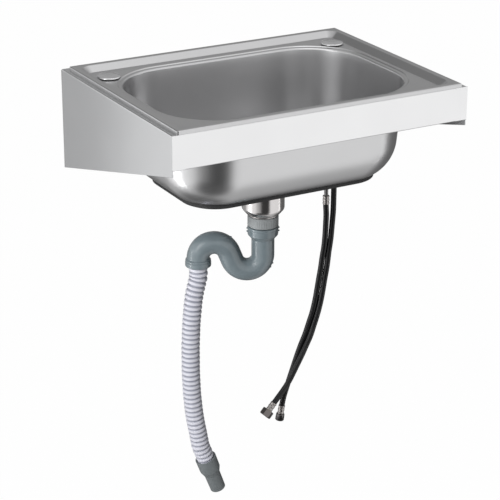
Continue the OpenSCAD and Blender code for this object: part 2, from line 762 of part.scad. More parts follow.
module strainer_cup() {
  r = cup_d/2;
  inner = r - cup_wall;
  neck_r = tail_thread_d/2;
  bore_r = tail_bore/2;
  color(bright_steel) translate([0, drain_y, 0]) {
    rotate_extrude() polygon([
      [inner, cup_top], [cup_flange_d/2, cup_top], [cup_flange_d/2, cup_top - cup_wall],
      [r, cup_top - cup_wall], [r, cup_foot], [foot_r, cup_neck], [neck_r, cup_neck],
      [neck_r, tail_end], [bore_r, tail_end], [bore_r, cup_neck + cup_wall],
      [foot_r - cup_wall/2, cup_neck + cup_wall], [inner, cup_foot]]);
    difference() {
      translate([-inner - cup_wall/2, -bridge_w/2, bridge_z - bridge_h/2])
        cube([2*inner + cup_wall, bridge_w, bridge_h]);
      translate([0, 0, bridge_z - bridge_h]) cylinder(h = 2*bridge_h, d = screw_d + 2*thread_gap);
    }
  }
}

module strainer_screw() {
  head_h = screw_d/2;
  color(bright_steel) translate([0, drain_y, 0]) {
    translate([0, 0, bridge_z - bridge_h])
      cylinder(h = screw_top - bridge_z + bridge_h + head_h/4, d = screw_d);
    difference() {
      translate([0, 0, screw_top]) cylinder(h = head_h, d1 = screw_head_d, d2 = screw_head_d - head_h);
      translate([-screw_head_d, -head_h/6, screw_top + head_h/2]) cube([2*screw_head_d, head_h/3, head_h]);
    }
  }
}

module strainer_basket() {
  r = basket_d/2;
  slot_h = basket_h/2;
  slot_w = PI*basket_d/basket_slots/3;
  rim_r = dish_d/2 - move_gap;
  color(bright_steel) translate([0, drain_y, basket_z + basket_t]) difference() {
    rotate_extrude() polygon([[0, 0], [r - basket_t, 0], [r, basket_t], [r, basket_h - basket_t],
      [rim_r, basket_h - basket_t], [rim_r, basket_h], [r - basket_t, basket_h],
      [r - basket_t, basket_t], [0, basket_t]]);
    for (i = [0:basket_slots - 1]) rotate([0, 0, 360*i/basket_slots])
      translate([r - 2*basket_t, -slot_w/2, basket_h/4]) cube([4*basket_t, slot_w, slot_h]);
    translate([0, 0, -cut]) cylinder(h = basket_t + 2*cut, d = screw_d/2 + 2*thread_gap);
  }
}

module basket_knob() {
  post_d = screw_d/2;
  color(bright_steel) translate([0, drain_y, basket_z + basket_t]) {
    cylinder(h = basket_h - basket_t, d = post_d);
    translate([0, 0, basket_t]) cylinder(h = basket_h - post_d, d = 2*post_d);
    translate([0, 0, basket_h - post_d]) cylinder(h = post_d, d1 = 2*post_d, d2 = knob_d);
    translate([0, 0, basket_h]) cylinder(h = post_d/2, d = knob_d);
  }
}

module basket_stopper() {
  color(black_rubber) translate([0, drain_y, basket_z]) cylinder(h = basket_t, d = basket_d - 4*basket_t);
}

module union_nut() {
  r = nut_d/2;
  edge = nut_h/12;
  thread_r = tail_thread_d/2 + move_gap;
  lip_hole = pipe_r + move_gap;
  color(nut_grey) translate([0, drain_y, nut_z]) rotate_extrude() polygon([
    [lip_hole, 0], [r - edge, 0], [r, edge], [r, nut_h - edge], [r - edge, nut_h],
    [thread_r, nut_h], [thread_r, nut_lip], [lip_hole, nut_lip]]);
}

module trap_washer() {
  color(black_rubber) translate([0, drain_y, trap_top]) difference() {
    cylinder(h = trap_washer_t, d = trap_flange_d);
    translate([0, 0, -cut]) cylinder(h = trap_washer_t + 2*cut, d = trap_bore);
  }
}

// Bend of the trap, swept back from the end of a leg at the origin
module bend(r, from) {
  rotate([90, 0, 0]) rotate([0, 0, from]) rotate_extrude(angle = bend_sweep)
    translate([bend_r, 0]) circle(r + bend_swell);
}

// Pipe of the trap in its own plane, or its bore by a smaller radius. Each
// straight leg runs a little way into its bends.
module trap_run(r, top, foot) {
  over = 2*bend_swell;
  translate([0, 0, bend_z - over]) cylinder(h = top - bend_z + over, r = r);
  translate([-bend_r, 0, bend_z]) bend(r, -bend_sweep);
  translate([leg_x, 0, leg_z]) rotate([0, -leg_lean, 0])
    translate([0, 0, -over]) cylinder(h = mid_leg_l + 2*over, r = r);
  translate([crown_x, 0, crown_z]) bend(r, leg_lean);
  translate([outlet_x, 0, foot]) cylinder(h = crown_z - foot + over, r = r);
}

module trap() {
  fin = pipe_r*flash_share;
  neck_d = trap_flange_d - pipe_wall;
  color(trap_grey) translate([0, drain_y, 0]) rotate([0, 0, -trap_turn]) difference() {
    union() {
      trap_run(pipe_r, trap_top - trap_flange_t/2, socket_end + pipe_wall);
      translate([0, 0, trap_top - trap_flange_t]) cylinder(h = trap_flange_t, d = trap_flange_d);
      translate([0, 0, collar_z]) cylinder(h = collar_h, d = collar_d);
      translate([0, 0, pipe_top]) cylinder(h = collar_taper, d1 = pipe_d + 2*bend_swell, d2 = collar_d);
      for (x = [-1, 1], z = [1, 2])
        translate([x*collar_d/2, 0, collar_z + z*collar_h/3]) cube([2*fin, fin/2, fin], center = true);
      translate([outlet_x, 0, socket_end]) cylinder(h = socket_l - pipe_wall, d = socket_d);
      translate([outlet_x, 0, crown_z - pipe_wall])
        cylinder(h = pipe_wall - bend_swell, d1 = socket_d, d2 = pipe_d - pipe_wall);
    }
    trap_run(trap_bore/2, trap_top + cut, hose_start - cut);
    translate([outlet_x, 0, socket_end - cut]) cylinder(h = hose_start - socket_end + cut, d = socket_bore);
  }
}

module outlet_seal() {
  length = hose_start - socket_end;
  color(black_rubber) translate([outlet.x, outlet.y, socket_end]) difference() {
    cylinder(h = length, d = socket_bore);
    translate([0, 0, -cut]) cylinder(h = length + 2*cut, d = hose_d + 2*thread_gap);
  }
}

// Ribbed tube: each rib is a ring at its crest and one in its groove, with a
// plain bore. The hose starts and ends on a crest.
module drain_hose() {
  run = travel(drain_route);
  ribs = round(last(run)/rib_pitch);
  outer = flat_list([for (i = [0:2*ribs])
    ring(drain_route, step_at(run, last(run)*i/(2*ribs)), hose_d/2 - (i % 2)*rib_depth)]);
  bore_steps = len(drain_route) - 1;
  inner = flat_list([for (s = [0:bore_steps]) ring(drain_route, s, hose_bore/2)]);
  base = len(outer);
  outer_end = base - tube_sides;
  inner_end = base + len(inner) - tube_sides;
  color(hose_white) translate(outlet) polyhedron(concat(outer, inner), concat(
    skin(0, 2*ribs + 1),
    flipped(skin(base, bore_steps + 1)),
    [for (k = [0:tube_sides - 1]) let (n = (k + 1) % tube_sides)
      each [[k, n, base + k], [n, base + n, base + k]]],
    [for (k = [0:tube_sides - 1]) let (n = (k + 1) % tube_sides)
      each [[outer_end + k, inner_end + k, outer_end + n],
        [outer_end + n, inner_end + k, inner_end + n]]]));
}

// Stepped cuff pushed over the end of the waste hose
module hose_cuff() {
  steps = len(drain_route) - 1;
  wide = cuff_d/2;
  thin = spigot_d/2;
  mouth = hose_d/2 + move_gap;
  seat = cuff_wide_l/2;
  through = spigot_bore/2;
  color(cuff_grey) on_route(outlet, drain_route, steps) rotate_extrude() polygon([
    [mouth, -seat], [wide, -seat], [wide, cuff_wide_l - seat],
    [thin, cuff_wide_l - seat + cuff_taper_l], [thin, cuff_wide_l - seat + cuff_taper_l + cuff_spigot_l],
    [through, cuff_wide_l - seat + cuff_taper_l + cuff_spigot_l], [through, 0], [mouth, 0]]);
}

module ferrule(exit, route, s, back) {
  on_route(exit, route, s) translate([0, 0, back]) difference() {
    cylinder(h = ferrule_l, d = ferrule_d);
    translate([0, 0, -cut]) cylinder(h = ferrule_l + 2*cut, d = supply_d + 2*thread_gap);
  }
}

// Nipple crimped in the hose's end, whose collar holds the swivel nut
module insert(exit, route, nut_h, nut_bore) {
  neck = supply_d/2;
  collar = nut_bore/2 - move_gap;
  bore = supply_d/4;
  low = nut_h/4 + 2*move_gap;
  on_route(exit, route, len(route) - 1) rotate_extrude() polygon([
    [bore, 0], [neck, 0], [neck, low], [collar, low], [collar, nut_h/2], [bore, nut_h/2]]);
}

// Nut with a floor that the hose turns in, a relieved well for the nipple's
// collar and the washer, and a thread above them
module swivel_nut(exit, route, wall, nut_h, nut_bore) {
  on_route(exit, route, len(route) - 1) translate([0, 0, move_gap]) difference() {
    hex_nut(nut_bore + 2*wall, nut_h);
    translate([0, 0, -cut]) cylinder(h = nut_h + 2*cut, r = supply_d/2 + move_gap);
    translate([0, 0, nut_h/4]) cylinder(h = nut_h, d = nut_bore);
    translate([0, 0, nut_h/4]) cylinder(h = nut_h*3/8, d = nut_bore + 2*wall*well_share);
  }
}

module nut_washer(exit, route, nut_h, nut_bore) {
  on_route(exit, route, len(route) - 1) translate([0, 0, nut_h/2]) difference() {
    cylinder(h = nut_h/8, d = nut_bore - 2*move_gap);
    translate([0, 0, -cut]) cylinder(h = nut_h, d = supply_d/2);
  }
}

module small_supply_hose() {
  color(black_rubber) translate(small_exit) rod(small_route, supply_d/2);
}

module small_top_ferrule() {
  color(bright_steel) ferrule(small_exit, small_route, 0, 0);
}

module small_end_ferrule() {
  color(bright_steel) ferrule(small_exit, small_route, len(small_route) - 1, -ferrule_l);
}

module small_insert() {
  color(bright_steel) insert(small_exit, small_route, small_nut_h, small_nut_bore);
}

module small_swivel_nut() {
  color(cuff_grey) swivel_nut(small_exit, small_route, small_nut_wall, small_nut_h, small_nut_bore);
}

module small_nut_washer() {
  color(black_rubber) nut_washer(small_exit, small_route, small_nut_h, small_nut_bore);
}

module large_supply_hose() {
  color(black_rubber) translate(large_exit) rod(large_route, supply_d/2);
}

module large_top_ferrule() {
  color(bright_steel) ferrule(large_exit, large_route, 0, 0);
}

module large_end_ferrule() {
  color(bright_steel) ferrule(large_exit, large_route, len(large_route) - 1, -ferrule_l);
}

module large_insert() {
  color(bright_steel) insert(large_exit, large_route, big_nut_h, big_nut_bore);
}

module large_swivel_nut() {
  color(bright_steel) swivel_nut(large_exit, large_route, big_nut_wall, big_nut_h, big_nut_bore);
}

module large_nut_washer() {
  color(black_rubber) nut_washer(large_exit, large_route, big_nut_h, big_nut_bore);
}

sink_basin();
sound_pad();
left_side_panel();
right_side_panel();
front_apron();
back_rail();
rail_rivets();
left_tap_cap();
left_cap_gasket();
left_deck_washer();
left_backnut();
right_tap_cap();
right_cap_gasket();
right_deck_washer();
right_backnut();
supply_manifold();
long_tail_pipe();
short_tail_pipe();
strainer_flange();
flange_seal();
cup_gasket();
strainer_cup();
strainer_screw();
strainer_basket();
basket_knob();
basket_stopper();
union_nut();
trap_washer();
trap();
outlet_seal();
drain_hose();
hose_cuff();
small_supply_hose();
small_top_ferrule();
small_end_ferrule();
small_insert();
small_swivel_nut();
small_nut_washer();
large_supply_hose();
large_top_ferrule();
large_end_ferrule();
large_insert();
large_swivel_nut();
large_nut_washer();
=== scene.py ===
from math import atan2, cos, exp, pi, radians, sin, tan

import bmesh
import bpy
from mathutils import Matrix, Vector


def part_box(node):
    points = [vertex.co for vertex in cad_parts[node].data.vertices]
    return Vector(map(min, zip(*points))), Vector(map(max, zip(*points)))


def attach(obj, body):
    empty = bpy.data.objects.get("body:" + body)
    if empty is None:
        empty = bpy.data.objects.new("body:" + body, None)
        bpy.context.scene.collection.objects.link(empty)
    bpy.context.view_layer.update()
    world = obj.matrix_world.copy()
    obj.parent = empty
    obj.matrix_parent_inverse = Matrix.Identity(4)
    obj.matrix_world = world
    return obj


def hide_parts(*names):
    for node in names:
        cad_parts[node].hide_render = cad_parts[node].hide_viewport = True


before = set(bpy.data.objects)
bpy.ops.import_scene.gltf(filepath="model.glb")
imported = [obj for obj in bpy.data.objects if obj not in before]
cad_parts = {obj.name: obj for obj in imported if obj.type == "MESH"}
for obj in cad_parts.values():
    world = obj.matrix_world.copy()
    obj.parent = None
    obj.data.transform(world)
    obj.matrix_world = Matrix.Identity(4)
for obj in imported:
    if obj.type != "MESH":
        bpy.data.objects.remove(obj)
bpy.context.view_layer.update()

mm = 0.001
weldReach = 1e-7  # metres
print("frame loaded")

# Camera at the photograph's place, and the three hoses' routes

camera = {
    "place": (-1.57736, -3.00125, 1.04070),
    "yaw": 29.20,  # to the right of straight at the wall, in degrees
    "pitch": 21.73,  # below the horizon
    "roll": -0.17,
    "lens": 137.1,
    "sensor": 36.0,
    "farthest": 30,
}


def placed(name, data):
    made = bpy.data.objects.new(name, data)
    bpy.context.scene.collection.objects.link(made)
    return made


def addCamera():
    yaw, pitch = radians(camera["yaw"]), radians(camera["pitch"])
    level = Vector((sin(yaw), cos(yaw), 0))
    ahead = level * cos(pitch) - Vector((0, 0, sin(pitch)))
    data = bpy.data.cameras.new("photoCamera")
    data.lens = camera["lens"]
    data.sensor_width = camera["sensor"]
    data.clip_end = camera["farthest"]
    made = placed("photoCamera", data)
    made.rotation_mode = "QUATERNION"
    turn = Matrix.Rotation(radians(camera["roll"]), 3, ahead).to_quaternion()
    made.rotation_quaternion = turn @ ahead.to_track_quat("-Z", "Y")
    made.location = camera["place"]
    bpy.context.scene.camera = made


addCamera()


def metres(points):
    return [Vector(p) * mm for p in points]


drainHose = {
    "exit": Vector((-106.008, -177.068, -245.386)) * mm,
    "route": metres([
        (0, 0, 0), (0, 0, -17), (0, 0, -34), (-4, 0, -50), (-8, 0, -66), (-11, 0, -84), (-13, 0, -104),
        (-15, 0, -124), (-16, 0, -146), (-17, 0, -170), (-17, 0, -195), (-17, 0, -220), (-16, 0, -244),
        (-15, 0, -266), (-13, 0, -286), (-11, 0, -305), (-8, 0, -325), (-4, 0, -346), (-1, 0, -362),
        (2, 0, -378), (8, 0, -394), (14, 0, -411), (17, 0, -419)]),
    "diameter": 34 * mm,
    "wall": 1.2 * mm,
    "ribPitch": 9.3 * mm,
    "ribDepth": 2.4 * mm,
    "innerDepth": 2.1 * mm,
    "ringsPerRib": 12,
    "crestShare": 0.30,  # of the pitch that a rib's crest takes
    "sides": 56,
}
supplyTube = {"diameter": 11 * mm, "ringGap": 1.6 * mm, "sides": 32}
smallHose = {
    **supplyTube,
    "exit": Vector((222, -80, -212.5)) * mm,
    "route": metres([
        (0, 0, 0), (0, 0, -20), (1, 0, -40), (1, 1, -62), (0, 1, -84), (-2, 1, -106), (-5, 2, -128),
        (-8, 2, -150), (-12, 2, -172), (-15, 3, -194), (-19, 3, -216), (-25, 3, -240), (-32, 4, -262),
        (-40, 4, -284), (-49, 5, -306), (-57, 6, -328), (-65, 6, -350), (-73, 6, -372), (-80, 6, -392),
        (-86, 6, -410), (-90, 6, -428), (-93, 6, -445)]),
}
largeHose = {
    **supplyTube,
    "exit": Vector((235, -80, -15.5)) * mm,
    "route": metres([
        (0, 0, 0), (0, 0, -20), (0, 0, -40), (1, 0, -64), (2, 0, -90), (3, 0, -118), (3, 0, -146),
        (4, 0, -174), (4, 0, -202), (3, -1, -230), (1, -1, -258), (-2, -2, -286), (-6, -2, -314),
        (-10, -3, -342), (-15, -3, -370), (-20, -4, -396), (-25, -4, -420), (-32, -5, -442),
        (-39, -5, -462), (-47, -6, -482), (-56, -6, -500), (-66, -7, -518), (-75, -7, -534),
        (-84, -7, -550), (-92, -7, -564), (-101, -7, -577), (-110, -7, -588), (-120, -7, -599),
        (-130, -7, -610), (-140, -7, -621)]),
}
supplyHoses = {"small": smallHose, "large": largeHose}


def spot(route, s):
    # Catmull-Rom curve through the route's points, where s counts the points
    n = len(route) - 1
    i = min(int(s), n - 1)
    t = s - i
    a, b, c, d = route[max(i - 1, 0)], route[i], route[i + 1], route[min(i + 2, n)]
    slope, bend, twist = c - a, 2 * a - 5 * b + 4 * c - d, 3 * b - a - 3 * c + d
    return 0.5 * (2 * b + slope * t + bend * t * t + twist * t ** 3)


def heading(route, s):
    n = len(route) - 1
    e = 0.02
    return (spot(route, min(s + e, n)) - spot(route, max(s - e, 0))).normalized()


def evenSteps(route, gap, fine=16):
    # Steps along a route whose spots lie one gap apart, with both ends among them
    n = (len(route) - 1) * fine
    spots = [spot(route, k / fine) for k in range(n + 1)]
    far = [0.0]
    for a, b in zip(spots, spots[1:]):
        far.append(far[-1] + (b - a).length)
    count = max(2, round(far[-1] / gap))
    steps, k = [], 0
    for j in range(count + 1):
        want = far[-1] * j / count
        while k < n - 1 and far[k + 1] < want:
            k += 1
        steps.append((k + (want - far[k]) / (far[k + 1] - far[k])) / fine)
    return steps, far[-1]


def bridge(rings, closedAlong=False):
    # Quads between neighbouring rings of as many points each
    faces = []
    per, count = len(rings[0]), len(rings)
    for j in range(count if closedAlong else count - 1):
        a, b = j * per, ((j + 1) % count) * per
        for k in range(per):
            m = (k + 1) % per
            faces.append((a + k, a + m, b + m, b + k))
    return faces


def tubeRings(hose, steps, radiusAt):
    rings = []
    for j, s in enumerate(steps):
        middle = hose["exit"] + spot(hose["route"], s)
        ahead = heading(hose["route"], s)
        across = ahead.cross(Vector((0, 1, 0))).normalized()
        up = ahead.cross(across)
        r = radiusAt(j)
        ring = []
        for k in range(hose["sides"]):
            a = 2 * pi * k / hose["sides"]
            ring.append(middle + r * (cos(a) * across + sin(a) * up))
        rings.append(ring)
    return rings


def meshFrom(name, shape):
    mesh = bpy.data.meshes.new(name)
    shape.to_mesh(mesh)
    shape.free()
    return mesh


def skin(name, points, faces):
    mesh = bpy.data.meshes.new(name)
    mesh.from_pydata([tuple(p) for p in points], [], faces)
    mesh.validate()
    return mesh


def newObject(name, points, faces, body, smoothAngle=40):
    mesh = skin(name, points, faces)
    shape = bmesh.new()
    shape.from_mesh(mesh)
    bmesh.ops.remove_doubles(shape, verts=shape.verts, dist=weldReach)
    bmesh.ops.recalc_face_normals(shape, faces=shape.faces)
    shape.to_mesh(mesh)
    shape.free()
    made = placed(name, mesh)
    mesh.shade_smooth()
    mesh.set_sharp_from_angle(angle=radians(smoothAngle))
    if body:
        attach(made, body)
    return made


def flat(rings):
    return [p for ring in rings for p in ring]


def lofted(name, rings, body, smoothAngle, closed=True):
    # Skin over rings, from the last back to the first where it is closed
    return newObject(name, flat(rings), bridge(rings, closedAlong=closed), body, smoothAngle)


def stands(made, slot, *nodes):
    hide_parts(*nodes)
    return made


def remember(made, name, values):
    # A number at each point of the mesh, for its material
    kept = made.data.attributes.new(name, "FLOAT", "POINT")
    for i, value in enumerate(values):
        kept.data[i].value = value


def makeDrainHose():
    hose = drainHose
    perRib = hose["ringsPerRib"]
    steps, length = evenSteps(hose["route"], hose["ribPitch"] / perRib)
    ribs = round(length / hose["ribPitch"])
    steps, length = evenSteps(hose["route"], length / (ribs * perRib))
    crest = hose["diameter"] / 2

    def groove(j):
        # 0 on a crest and 1 in a groove, with rounded shoulders
        phase = abs((j / perRib) % 1 - 0.5) * 2
        rise = (1 - phase - hose["crestShare"]) / (1 - hose["crestShare"])
        rise = min(max(rise, 0), 1)
        return rise * rise * (3 - 2 * rise)

    outer = tubeRings(hose, steps, lambda j: crest - hose["ribDepth"] * groove(j))
    inner = tubeRings(hose, steps, lambda j: crest - hose["wall"] - hose["innerDepth"] * groove(j))
    made = lofted("ribbed_waste_hose", outer + inner[::-1], "trap", 60)
    # the groove depth at each point is also the mask of the hose material's painted groove shade
    remember(made, "groove", [groove(i // hose["sides"]) for i in range(len(flat(outer)))])
    return stands(made, "waste_hose", "drain_hose"), length


def braidedHose(size, hose):
    # A smooth sheath whose points know their place around and along it, for the
    # braid that shows through
    steps, length = evenSteps(hose["route"], hose["ringGap"])
    rings = tubeRings(hose, steps, lambda j: hose["diameter"] / 2)
    sides, count = hose["sides"], len(flat(rings))
    ends = [hose["exit"] + spot(hose["route"], s) for s in (steps[0], steps[-1])]
    faces = bridge(rings)
    for k in range(sides):
        m = (k + 1) % sides
        faces.append((count, m, k))
        faces.append((count + 1, count - sides + k, count - sides + m))
    made = newObject(size + "_nut_hose_sheath", flat(rings) + ends, faces, "sink")
    remember(made, "around", [(i % sides) / sides for i in range(count)])
    remember(made, "along", [length * (i // sides) / (len(rings) - 1) for i in range(count)])
    return stands(made, "hose_sheath", size + "_supply_hose"), length


ribbedHose, drainLength = makeDrainHose()
sheaths = {size: braidedHose(size, hose) for size, hose in supplyHoses.items()}
print("hoses made")

# Materials


def addNode(tree, kind, values=None, **settings):
    # Values are plain or come from another node's socket
    made = tree.nodes.new(kind)
    for name, value in settings.items():
        setattr(made, name, value)
    for name, value in (values or {}).items():
        if isinstance(value, bpy.types.NodeSocket):
            tree.links.new(value, made.inputs[name])
        else:
            made.inputs[name].default_value = value
    return made


def startMaterial(name, colour, metallic, roughness, specular=0.5):
    made = bpy.data.materials.new(name)
    made.use_nodes = True
    tree = made.node_tree
    surface = tree.nodes["Principled BSDF"]
    surface.inputs["Base Color"].default_value = (*colour, 1)
    surface.inputs["Metallic"].default_value = metallic
    surface.inputs["Roughness"].default_value = roughness
    surface.inputs["Specular IOR Level"].default_value = specular
    return made, tree, surface


def spread(tree, source, low, high, fromLow=0.3, fromHigh=0.7):
    made = addNode(tree, "ShaderNodeMapRange", {
        "Value": source, "From Min": fromLow, "From Max": fromHigh, "To Min": low, "To Max": high})
    return made.outputs["Result"]


def reckon(tree, operation, *values):
    return addNode(tree, "ShaderNodeMath", dict(enumerate(values)), operation=operation).outputs[0]


def noise(tree, scale, stretch=(1, 1, 1), detail=3.0):
    place = addNode(tree, "ShaderNodeTexCoord").outputs["Object"]
    mapping = addNode(tree, "ShaderNodeMapping", {"Vector": place, "Scale": stretch})
    made = addNode(tree, "ShaderNodeTexNoise", {
        "Vector": mapping.outputs["Vector"], "Scale": scale, "Detail": detail})
    return made.outputs["Fac"]


def tint(tree, surface, factor, first, second):
    mix = addNode(tree, "ShaderNodeMix", {
        "Factor": factor, "A": (*first, 1), "B": (*second, 1)}, data_type="RGBA")
    tree.links.new(mix.outputs["Result"], surface.inputs["Base Color"])


def bump(tree, surface, height, strength, distance):
    made = addNode(tree, "ShaderNodeBump", {"Height": height, "Strength": strength, "Distance": distance})
    tree.links.new(made.outputs["Normal"], surface.inputs["Normal"])


def shade(colour, share):
    return tuple(c * share for c in colour)


def steel(name, colour, roughness, grain, brush=0.02):
    # Sheet steel with fine brush lines along one axis and cloudy wear
    made, tree, surface = startMaterial(name, colour, 1.0, roughness)
    lines = noise(tree, 1.0, grain, 4.0)
    clouds = noise(tree, 9.0, detail=4.0)
    both = addNode(tree, "ShaderNodeMix", {"Factor": 0.35, "A": lines, "B": clouds}, data_type="FLOAT")
    rough = spread(tree, both.outputs["Result"], roughness * 0.97, roughness * 1.04)
    tree.links.new(rough, surface.inputs["Roughness"])
    tint(tree, surface, spread(tree, clouds, 0, 1), shade(colour, 0.98), shade(colour, 1.02))
    bump(tree, surface, lines, brush, 0.02 * mm)
    return made


def polished(name, colour, roughness):
    # Bright metal with small smears and a slow waviness
    made, tree, surface = startMaterial(name, colour, 1.0, roughness)
    smears = noise(tree, 60.0, detail=5.0)
    tree.links.new(spread(tree, smears, roughness * 0.6, roughness * 1.8), surface.inputs["Roughness"])
    tint(tree, surface, spread(tree, smears, 0, 1), shade(colour, 0.94), colour)
    bump(tree, surface, noise(tree, 25.0), 0.08, 0.2 * mm)
    return made


def plastic(name, colour, roughness, grain=900.0, depth=0.12, specular=0.5):
    # Moulded plastic: slow drifts of tone, and a fine eggshell texture
    made, tree, surface = startMaterial(name, colour, 0.0, roughness, specular)
    drift = noise(tree, 28.0, detail=4.0)
    tint(tree, surface, spread(tree, drift, 0, 1), shade(colour, 0.88), shade(colour, 1.10))
    tree.links.new(spread(tree, drift, roughness * 0.85, roughness * 1.2), surface.inputs["Roughness"])
    bump(tree, surface, noise(tree, grain, detail=2.0), depth, 0.1 * mm)
    return made


def pointValue(tree, name):
    return addNode(tree, "ShaderNodeAttribute", attribute_name=name).outputs["Fac"]


def ribbedMaterial():
    # Pale hose plastic with painted shade down in the grooves: the colour goes from the crest's tone to a
    # much darker one as the groove attribute rises
    made, tree, surface = startMaterial("hoseLilacPlastic", (0.7, 0.7, 0.75), 0.0, 0.30)
    # painted shade: the groove colour stands in for the shade that falls inside the grooves
    tint(tree, surface, pointValue(tree, "groove"), (0.60, 0.60, 0.66), (0.22, 0.23, 0.28))
    bump(tree, surface, noise(tree, 500.0, detail=2.0), 0.06, 0.1 * mm)
    return made


def sheathMaterial(turns=12.0, lay=520.0):
    # Black plastic sheath, a little paler where the braid's strands lie under it
    made, tree, surface = startMaterial("hoseSheathBlack", (0.006, 0.006, 0.007), 0.0, 0.08, 0.3)
    along = reckon(tree, "MULTIPLY", pointValue(tree, "along"), lay)
    waves = []
    for sign in (1, -1):
        around = reckon(tree, "MULTIPLY", pointValue(tree, "around"), sign * turns)
        wound = reckon(tree, "MULTIPLY", reckon(tree, "ADD", around, along), pi * 2)
        waves.append(reckon(tree, "SINE", wound))
    strands = spread(tree, reckon(tree, "MAXIMUM", *waves), 0, 1, -1, 1)
    tint(tree, surface, strands, (0.004, 0.004, 0.005), (0.008, 0.008, 0.009))
    return made


finish = {
    "basin": steel("basinSteel", (0.575, 0.575, 0.58), 0.30, (9, 1300, 1300), brush=0.002),
    "bracket": steel("bracketSteel", (0.66, 0.665, 0.675), 0.25, (1300, 9, 1300)),
    "apron": steel("apronSteel", (0.76, 0.76, 0.765), 0.24, (9, 1300, 1300)),
    "cap": polished("capChrome", (0.74, 0.74, 0.75), 0.14),
    "chrome": polished("strainerChrome", (0.62, 0.60, 0.595), 0.12),
    "brass": polished("turnedBrass", (0.62, 0.55, 0.38), 0.28),
    "ferrule": polished("crimpedSteel", (0.34, 0.32, 0.31), 0.16),
    "largeNut": polished("tarnishedChrome", (0.21, 0.19, 0.185), 0.10),
    "smallNut": polished("darkNutMetal", (0.16, 0.155, 0.155), 0.22),
    "trap": plastic("trapSlatePlastic", (0.150, 0.184, 0.200), 0.22, specular=0.7),
    "nut": plastic("nutGreyPlastic", (0.255, 0.270, 0.275), 0.40, 1400.0),
    "hose": ribbedMaterial(),
    "cuff": plastic("cuffDarkPlastic", (0.135, 0.150, 0.155), 0.50, 700.0, 0.2),
    "backnut": plastic("backnutPlastic", (0.30, 0.31, 0.32), 0.45),
    "rubber": plastic("sealRubber", (0.022, 0.022, 0.023), 0.62, 900.0, 0.25, 0.35),
    "pad": plastic("soundPadBitumen", (0.018, 0.018, 0.019), 0.55, 260.0, 0.5, 0.4),
    "sheath": sheathMaterial(),
}


def paint(made, name):
    made.data.materials.clear()
    made.data.materials.append(finish[name])
    return made


paint(ribbedHose, "hose")
for sheath, length in sheaths.values():
    paint(sheath, "sheath")
print("materials made")

# Shape tools


def filleted(corners, closed=True, steps=5):
    # Points of an outline whose corners (x, y, radius) are rounded
    made = []
    count = len(corners)
    for i, (x, y, radius) in enumerate(corners):
        here = Vector((x, y))
        if radius <= 0 or (not closed and i in (0, count - 1)):
            made.append((x, y))
            continue
        before = Vector(corners[i - 1][:2]) - here
        after = Vector(corners[(i + 1) % count][:2]) - here
        half = before.angle(after) / 2
        reach = min(radius / tan(half), 0.49 * before.length, 0.49 * after.length)
        bend = reach * tan(half)
        middle = here + (before.normalized() + after.normalized()).normalized() * bend / sin(half)
        start = here + before.normalized() * reach - middle
        end = here + after.normalized() * reach - middle
        sweep = start.angle_signed(end, 0)
        for k in range(steps + 1):
            turn = Matrix.Rotation(-sweep * k / steps, 2)
            made.append(tuple(middle + turn @ start))
    return made


def circle(sides, z, radiusAt, place):
    # Ring about an upright axis, whose radius may change with the angle
    angles = [2 * pi * k / sides for k in range(sides)]
    return [place @ Vector((radiusAt(a) * cos(a), radiusAt(a) * sin(a), z)) for a in angles]


def lathe(profile, sides, place):
    # Rings of a turned piece from (radius, height) points
    return [circle(sides, z, lambda a: r, place) for r, z in profile]


def turned(name, profile, body, material, place, sides=96, closed=True, smoothAngle=35):
    return paint(lofted(name, lathe(profile, sides, place), body, smoothAngle, closed), material)


def at(x, y, z=0.0):
    return Matrix.Translation((x, y, z))


def onRoute(hose, s):
    # Frame that stands on a route and looks along it
    ahead = heading(hose["route"], s).to_track_quat("Z", "Y")
    return Matrix.Translation(hose["exit"] + spot(hose["route"], s)) @ ahead.to_matrix().to_4x4()


def applied(made):
    bpy.context.view_layer.update()
    solid = bpy.data.meshes.new_from_object(made.evaluated_get(bpy.context.evaluated_depsgraph_get()))
    made.modifiers.clear()
    made.data = solid


def combined(made, others, operation):
    # Joins others to a piece, or cuts them from it, and removes them
    for other in others:
        step = made.modifiers.new("step", "BOOLEAN")
        step.operation = operation
        step.object = other
        step.solver = "EXACT"
    applied(made)
    for other in others:
        bpy.data.objects.remove(other)


def drilled(made, holes, depth, sides=40):
    # Cuts round holes, each (point, axis, radius), and applies all modifiers
    tools = []
    for point, axis, radius in holes:
        shape = bmesh.new()
        turn = Vector(axis).to_track_quat("Z", "Y").to_matrix().to_4x4()
        bmesh.ops.create_cone(shape, cap_ends=True, segments=sides, radius1=radius, radius2=radius,
                              depth=depth, matrix=Matrix.Translation(point) @ turn)
        tools.append(placed("drill", meshFrom("drill", shape)))
    combined(made, tools, "DIFFERENCE")


def thickened(made, thickness):
    # Sheet that grows inward from its outer skin
    sheet = made.modifiers.new("sheet", "SOLIDIFY")
    sheet.thickness = thickness
    sheet.offset = -1
    sheet.use_even_offset = True


def shadeSheet(made, alongAxis=0.9995):
    # Smooth bends, and faces along the axes that stay truly flat
    made.data.shade_smooth()
    made.data.set_sharp_from_angle(angle=radians(30))
    for face in made.data.polygons:
        face.use_smooth = max(abs(c) for c in face.normal) < alongAxis


def softEdges(made, width):
    edge = made.modifiers.new("softEdges", "BEVEL")
    edge.width = width
    edge.segments = 2
    edge.limit_method = "ANGLE"
    edge.angle_limit = radians(60)


# Basin: one pressed sheet, from the rim's skirt down to the drain hole


def middleOf(node):
    low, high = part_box(node)
    return (low.x + high.x) / 2, (low.y + high.y) / 2


